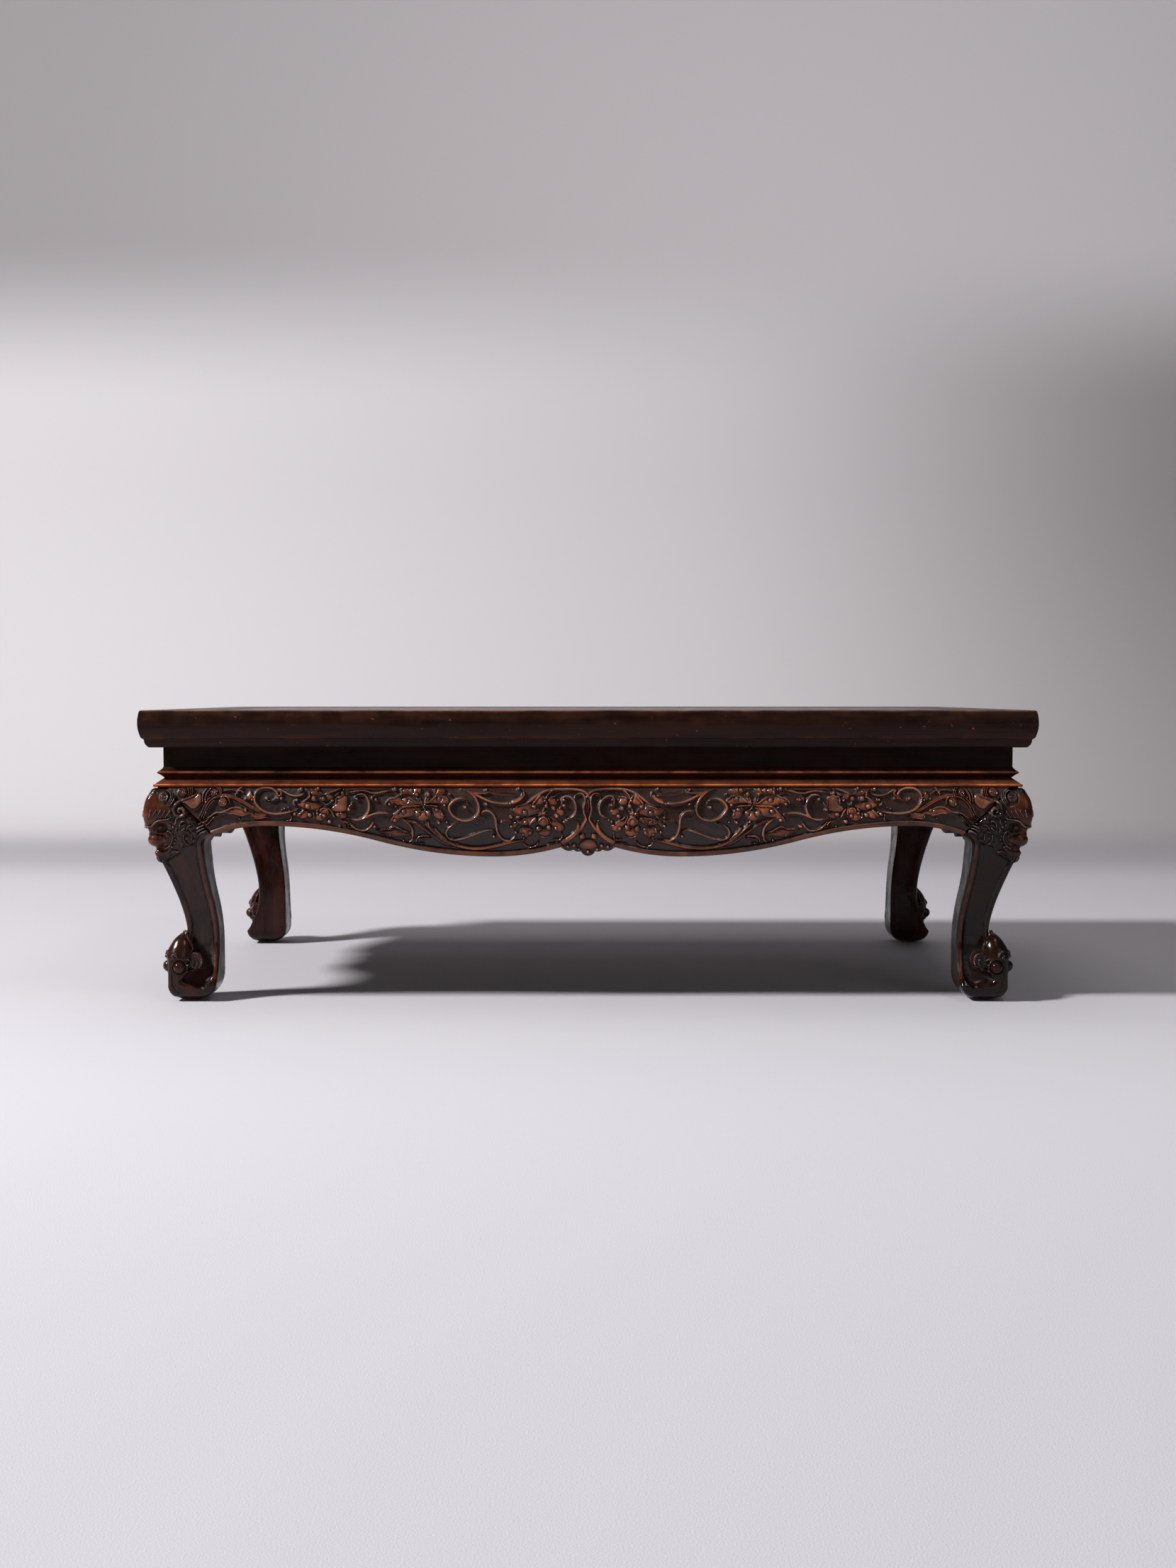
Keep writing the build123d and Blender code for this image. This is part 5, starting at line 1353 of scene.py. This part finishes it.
def sunk_field(u, z):
    """Depth of the field between the arris band and the inner bead, with its scoop, less the bead's rise."""
    inner = inner_edge()
    outer = catmull(OUTER_EDGE, 3.0)
    shin = outer[(outer[:, 1] < 143) & (outer[:, 1] > 78)] + [ARRIS_BAND, 0]
    calf = inner[(inner[:, 1] > 46) & (inner[:, 1] < 166)] - [LEG_BEAD, 0]
    line = np.vstack([shin, [(41.5, 62), (43, 48)], catmull(SCOOP, 1.2), calf, MASK_FOOT])
    distance, inside = distance_to(line, u, z)
    wall = 2.2 + smoothstep(62, 30, z) * (6.0 + 5.0 * smoothstep(50, 38, u))
    steep = np.clip(distance / wall, 0, 1)
    round_wall = smoothstep(70, 45, z)
    steep = round_wall * np.sqrt(1 - (1 - steep) ** 2) + (1 - round_wall) * smoothstep(0, 1, steep)
    depth = (FIELD_DEPTH + 2.2 * smoothstep(98, 34, z)) * steep * inside
    from_edge, _ = distance_to(np.vstack([inner, inner[::-1]]), u, z)
    bead = np.sqrt(np.clip(1 - ((from_edge - LEG_BEAD_MIDDLE) / LEG_BEAD_HALF) ** 2, 0, 1))
    bead = bead * (z < LEG_BEAD_TOP) * smoothstep(20, 34, z)
    return depth - LEG_BEAD_RISE * bead * ~inside


def smooth_most(a, b, k):
    return np.maximum(a, b) + np.maximum(k - np.abs(a - b), 0) ** 2 / (4 * k)


def smooth_least(a, b, k):
    return np.minimum(a, b) - np.maximum(k - np.abs(a - b), 0) ** 2 / (4 * k)


def ball(u, v, z, centre, radius, flat=1.0):
    return np.sqrt((u - centre[0]) ** 2 + (v - centre[1]) ** 2 + ((z - centre[2]) * flat) ** 2) - radius


def tube(u, v, z, points, radius):
    """Distance to a bent rod."""
    nearest = None
    for a, b in zip(points[:-1], points[1:]):
        du, dv, dz = u - a[0], v - a[1], z - a[2]
        step = np.subtract(b, a)
        t = np.clip((du * step[0] + dv * step[1] + dz * step[2]) / (step @ step), 0, 1)
        gap = np.sqrt((du - t * step[0]) ** 2 + (dv - t * step[1]) ** 2 + (dz - t * step[2]) ** 2)
        nearest = gap if nearest is None else np.minimum(nearest, gap)
    return nearest - radius


def foot_ornament(shape, u, v, z, scoop):
    """Adds the toe, the bud, the lobes and the pearls; `scoop` is the distance inside a face's scoop."""
    sole = TOE_INSET + TOE_RADIUS - np.sqrt(TOE_RADIUS**2 - np.clip(TOE_RADIUS - z, 0, TOE_RADIUS - 1) ** 2)
    corner = np.sqrt(np.maximum(sole - u, 0) ** 2 + np.maximum(sole - v, 0) ** 2) - 4
    lump = np.maximum(np.maximum(corner, np.maximum(u, v) - 44), np.maximum(z - 47, 5 - z))
    shape = smooth_least(shape, smooth_most(lump, scoop, 4.0), 1.0)

    bud_height, bud_radius, bud_middle = np.array(BUD).T
    middle = np.interp(z, bud_height, bud_middle).astype(np.float32)
    radius = np.interp(z, bud_height, bud_radius).astype(np.float32)
    bud = np.sqrt((u - middle) ** 2 + (v - middle) ** 2) - radius
    bud = smooth_most(bud * 0.75, np.maximum(z - BUD_TIP, 44 - z), 0.8)
    shape = smooth_least(shape, bud, 0.8)

    for first, second in ((u, v), (v, u)):
        lobe = np.sqrt((first - LOBE_CENTRE[0]) ** 2 + (z - LOBE_CENTRE[1]) ** 2) - LOBE_RADIUS
        lobe = smooth_most(lobe, np.maximum(27.4 - second, second - 43), 2.2)
        shape = smooth_least(shape, lobe, 0.6)
        beside = [(a - 2.0, b - 0.9, c - 0.4) for a, b, c in FOLD]
        shape = np.maximum(shape, -tube(first, second, z, beside, 0.8))
        shape = smooth_least(shape, tube(first, second, z, FOLD, 1.35), 0.2)
        around = np.sqrt((first - PEARL[0]) ** 2 + (z - PEARL[2]) ** 2)
        collar = np.sqrt((around - 7.6) ** 2 + (second - 21.6) ** 2) - 1.15
        moat = np.sqrt((around - 6.2) ** 2 + (second - 21.0) ** 2) - 0.9
        shape = smooth_least(shape, collar, 0.5)
        shape = smooth_least(np.maximum(shape, -moat), ball(first, second, z, PEARL, PEARL_RADIUS), 0.15)
    return shape


def face_ornament(shape, u, v, z):
    """Adds the snout with its nostrils, the cheeks and the eyes of the mask."""
    for centre, radius, flat in SNOUT:
        shape = smooth_least(shape, ball(u, v, z, centre, radius, flat), 0.8)
    for first, second in ((u, v), (v, u)):
        for centre, radius, blend in CHEEKS_AND_EYES:
            shape = smooth_least(shape, ball(first, second, z, centre, radius), blend)
        shape = np.maximum(shape, -ball(first, second, z, PUPIL, 0.9))
    return shape


def leg_shape(cell, adaptivity):
    """Points and faces of a leg in its corner's frame, where X and Y are both insets.

    Also how far each point stands out of its near surroundings and of its wider ones.
    """
    axis = np.arange(-3, 77, cell, dtype=np.float32)
    heights = np.arange(-1.5, FRAME_BOTTOM + 1.6, cell, dtype=np.float32)
    u, v, z = axis[:, None, None], axis[None, :, None], heights[None, None, :]
    flat_u, flat_z = np.meshgrid(axis, heights, indexing="ij")
    nearest, inside = distance_to(leg_outline(), flat_u, flat_z)
    profile = np.where(inside, -nearest, nearest).astype(np.float32)
    rounding = ARRIS_ROUNDING + KNEE_ROUNDING * smoothstep(146, 175, z)
    rounding = (rounding + FOOT_ROUNDING * (1 - smoothstep(18, 30, z))).astype(np.float32)
    shape = smooth_most(profile[:, None, :], profile[None, :, :], rounding)

    index = np.arange(len(axis))
    farther_index = np.maximum(index[:, None], index[None, :])
    farther, nearer = np.maximum(u, v), np.minimum(u, v)
    front = np.interp(heights, FRONT_PROFILE[:, 1], FRONT_PROFILE[:, 0]).astype(np.float32)
    facing = (1 - smoothstep(7, 12, nearer - front[None, None, :])).astype(np.float32)
    field = sunk_field(flat_u, flat_z).astype(np.float32)
    shape = shape + field[farther_index] * facing

    low = slice(0, int(np.searchsorted(heights, FOOT_TOP)))
    scoop_line = np.vstack([SCOOP, [(68.4, 50), (43, 50)]])
    scoop_distance, in_scoop = distance_to(scoop_line, flat_u[:, low], flat_z[:, low])
    scoop = np.where(in_scoop, scoop_distance, -scoop_distance).astype(np.float32)[farther_index]
    shape[:, :, low] = foot_ornament(shape[:, :, low], u, v, z[:, :, low], scoop)

    relief = mask_and_scrolls()
    lift = relief.read(relief.height, flat_u, flat_z).astype(np.float32)
    pearl_zone = np.exp(-((((farther - PEARL[0]) ** 2 + (z - PEARL[2]) ** 2) / PEARL_CLEARING**2) ** 4))
    beyond_face = smoothstep(69.5, 71.5, farther) * (z > 70)
    shape -= lift[farther_index] * facing * (1 - pearl_zone) * (1 - beyond_face)
    high = slice(*np.searchsorted(heights, SNOUT_ZONE))
    shape[:, :, high] = face_ornament(shape[:, :, high], u, v, z[:, :, high])
    post = np.maximum(np.abs(u - POST_MIDDLE), np.abs(v - POST_MIDDLE)) - POST_HALF
    post = np.maximum(post, np.maximum(z - FRAME_BOTTOM, POST_FOOT - z))
    shape = np.clip(np.minimum(shape, post), -SHELL, SHELL).astype(np.float32)

    grid = vdb.FloatGrid(background=SHELL)
    grid.copyFromArray(np.ascontiguousarray(shape), tolerance=0.0)
    points, triangles, quads = grid.convertToPolygons(0.0, adaptivity)
    i, j, k = [np.clip(np.rint(points[:, n]).astype(int), 0, shape.shape[n] - 1) for n in range(3)]
    fine, broad = [(box_average(shape, round(reach / cell)) - shape)[i, j, k] for reach in (2, 5)]
    places = np.array(points) * cell + [axis[0], axis[0], heights[0]]
    return places, quads.tolist() + triangles.tolist(), fine, broad


LEG_POINTS, LEG_FACES, FINE, BROAD = leg_shape(LEG_CELL, LEG_ADAPTIVITY)
LEG_HEIGHT = LEG_POINTS[:, 2]
UNEVEN = 0.65 + 0.45 * lattice_noise(LEG_POINTS[:, 0] / 5, LEG_HEIGHT / 7, 91)
EDGE = inner_edge()
EDGE_INSET = np.interp(LEG_HEIGHT, EDGE[:, 1], EDGE[:, 0])
OUTWARD, INWARD = LEG_POINTS[:, :2].min(1), LEG_POINTS[:, :2].max(1)
CREST = np.exp(-(((INWARD - EDGE_INSET + 2.4) / 1.3) ** 2)) * (LEG_HEIGHT > 24) * (OUTWARD < EDGE_INSET - 20)
MASK_ZONE = smoothstep(150, 160, LEG_HEIGHT) * (1 - smoothstep(212, 222, LEG_HEIGHT))
FACE = MASK_ZONE * (1 - smoothstep(20, 36, INWARD))
LEG_WEAR = UNEVEN * np.maximum(np.maximum(0.9 * smoothstep(0.8, 1.8, BROAD), 0.7 * CREST), 0.42 * FACE)
# Painted highlight: pale colour on the crests of the finest carving, except low on the foot.
LEG_PAINTED_HIGHLIGHT = UNEVEN * 0.6 * smoothstep(0.45, 1.0, FINE) * smoothstep(35, 39, LEG_HEIGHT)
LEG_HOLLOW_DARK = smoothstep(0.06, 0.36, -FINE)
# Painted shade: the front legs' inner side faces are darkened.
INNER_SIDE_PAINTED_SHADE = 0.6 * (INWARD > EDGE_INSET - 0.7) * (LEG_HEIGHT < POST_FOOT)
for depth_name, from_y in (("front", 1), ("back", -1)):
    for side_name, from_x in (("left", 1), ("right", -1)):
        placed = LEG_POINTS * [from_x, from_y, 1] - [from_x * LENGTH / 2, from_y * DEPTH / 2, 0]
        faces = LEG_FACES if from_x * from_y > 0 else [face[::-1] for face in LEG_FACES]
        leg_look_by_light = LEG_WOOD_BY_LIGHT[side_name if depth_name == "front" else "back"]
        # Darker in the hollows, with painted shade on the front legs' inner sides.
        leg_hollow_dark_and_shade = np.maximum(LEG_HOLLOW_DARK, INNER_SIDE_PAINTED_SHADE * (from_y > 0))
        mesh_piece(f"cabriole_leg_{depth_name}_{side_name}", placed, faces, leg_look_by_light,
                   [f"leg_{depth_name}_{side_name}"], {"wear_and_highlight": LEG_WEAR, "hollows_and_shade": leg_hollow_dark_and_shade, "painted_highlight": LEG_PAINTED_HIGHLIGHT})


# ---------------------------------------------------------------- studio, in metres
# Painted light and shade on the backdrop paper, from the near end of the floor to the wall: (from, to,
# colour).
# The floor under and behind the camera, painted dark as shade.
NEAR_FLOOR_PAINTED_SHADE = (0.1, 0.095, 0.1)
FLOOR_START = (0.57, 0.55, 0.592)
FLOOR_PAINTED_LIGHT_AND_SHADE = [
    (-1.3, -0.7, (0.605, 0.588, 0.63)),
    (-0.7, 0.0, (0.53, 0.507, 0.541)),
    (0.9, 1.4, (0.41, 0.387, 0.415)),
]
# The wall painted lighter at the left and darker at the right, and the upper wall the other way round.
WALL_PAINTED_LIGHT = (0.66, 0.63, 0.645)
WALL_PAINTED_SHADE = (0.34, 0.315, 0.315)
UPPER_WALL_PAINTED_SHADE = (0.31, 0.29, 0.297)
UPPER_WALL_PAINTED_LIGHT = (0.76, 0.715, 0.735)
FLOOR_NEAR_END = -4.0
BEND_START = 1.9
BEND_RADIUS = 0.9
WALL_HEIGHT = 4.0
BACKDROP_HALF_WIDTH = 4.5
# Each lamp's place, what it points at, its width and its power.
LAMPS = {
    "key": ((-3.65, -1.45, 3.4), (0.0, 0.0, 0.15), 0.75, 345),
    "fill": ((1.8, -2.6, 1.3), (0.0, 0.0, 0.2), 1.6, 5),
    "overhead": ((-0.5, 0.3, 2.7), (-0.5, 0.2, 0.0), 1.8, 14),
    "glint": ((0.7, -0.95, 2.0), (0.0, 0.0, 0.1), 0.5, 4.5),
}
WORLD_STRENGTH = 0.05
CAMERA_PLACE = (0, -2.0352, 0.3207)
CAMERA_TILT = 87.04
CAMERA_LENS = 40
CAMERA_SENSOR = 36


def painted_light_paper():
    """Paper with painted light and shade: its tone changes along the floor, up the wall and across it."""
    material = bpy.data.materials.new("paper_with_painted_light")
    material.use_nodes = True
    tree = material.node_tree
    tree.nodes.clear()
    place = add(tree, "ShaderNodeTexCoord").outputs["Object"]
    parts = add(tree, "ShaderNodeSeparateXYZ", {0: place})
    across, along, up = [parts.outputs[name] for name in "XYZ"]
    floor_colour = FLOOR_START
    for low, high, tone in FLOOR_PAINTED_LIGHT_AND_SHADE:
        floor_colour = colour_mix(tree, ramp(tree, along, low, high), floor_colour, tone)
    floor_colour = colour_mix(tree, ramp(tree, along, -2.7, -1.6), NEAR_FLOOR_PAINTED_SHADE, floor_colour)
    # Painted shade on the wall: darker towards the right, and less so near its foot.
    painted_shade_share = combine(tree, "MULTIPLY", ramp(tree, across, 0.25, 2.05), ramp(tree, up, 0.0, 0.9, 0.75, 1.0))
    wall_colour = colour_mix(tree, painted_shade_share, WALL_PAINTED_LIGHT, WALL_PAINTED_SHADE)
    # Painted light and shade on the upper wall: darker at the left, lighter at the right.
    upper_colour = colour_mix(tree, ramp(tree, across, -1.9, 2.3), UPPER_WALL_PAINTED_SHADE, UPPER_WALL_PAINTED_LIGHT)
    wall_colour = colour_mix(tree, ramp(tree, up, 1.1, 1.58), wall_colour, upper_colour)
    colour = colour_mix(tree, ramp(tree, along, 1.5, 2.2), floor_colour, wall_colour)
    fibres = add(tree, "ShaderNodeTexNoise", {"Vector": place, "Scale": 900.0, "Detail": 2.0}).outputs["Fac"]
    paper = add(tree, "ShaderNodeBump", {"Height": fibres, "Strength": 0.35, "Distance": 0.0005})
    shader_inputs = {
        "Base Color": colour,
        "Roughness": 0.85,
        "Specular IOR Level": 0.15,
        "Normal": paper.outputs[0],
    }
    shader = add(tree, "ShaderNodeBsdfPrincipled", shader_inputs)
    add(tree, "ShaderNodeOutputMaterial", {"Surface": shader.outputs[0]})
    return material


def studio():
    """One sheet of paper: a floor that bends up into a wall behind the table."""
    profile = [(FLOOR_NEAR_END, 0.0)] + [(y, 0.0) for y in np.linspace(-3, BEND_START, 30)]
    for angle in np.linspace(0.08, math.pi / 2, 20):
        along = BEND_START + BEND_RADIUS * math.sin(angle)
        profile.append((along, BEND_RADIUS - BEND_RADIUS * math.cos(angle)))
    profile += [(BEND_START + BEND_RADIUS, z) for z in np.linspace(1.1, WALL_HEIGHT, 10)]
    points = [(x, y, z) for y, z in profile for x in (-BACKDROP_HALF_WIDTH, BACKDROP_HALF_WIDTH)]
    faces = [(2 * n, 2 * n + 1, 2 * n + 3, 2 * n + 2) for n in range(len(profile) - 1)]
    mesh = bpy.data.meshes.new("backdrop")
    mesh.from_pydata(points, [], faces, shade_flat=False)
    backdrop = bpy.data.objects.new("backdrop", mesh)
    backdrop.data.materials.append(painted_light_paper())
    bpy.context.scene.collection.objects.link(backdrop)


def soft_light(name, location, target, size, power):
    light = bpy.data.lights.new(name, "AREA")
    light.shape = "DISK"
    light.size = size
    light.energy = power
    lamp = bpy.data.objects.new(name, light)
    lamp.location = location
    lamp.rotation_euler = (Vector(target) - Vector(location)).to_track_quat("-Z", "Y").to_euler()
    bpy.context.scene.collection.objects.link(lamp)


studio()
for name, (location, target, size, power) in LAMPS.items():
    soft_light(name, location, target, size, power)
world = bpy.data.worlds.new("studio")
world.use_nodes = True
world.node_tree.nodes["Background"].inputs["Color"].default_value = (1, 1, 1, 1)
world.node_tree.nodes["Background"].inputs["Strength"].default_value = WORLD_STRENGTH
bpy.context.scene.world = world

camera = bpy.data.objects.new("camera", bpy.data.cameras.new("camera"))
camera.data.lens = CAMERA_LENS
camera.data.sensor_width = CAMERA_SENSOR
camera.location = CAMERA_PLACE
camera.rotation_euler = (math.radians(CAMERA_TILT), 0, 0)
bpy.context.scene.collection.objects.link(camera)
bpy.context.scene.camera = camera
bpy.context.scene.view_settings.view_transform = "Standard"
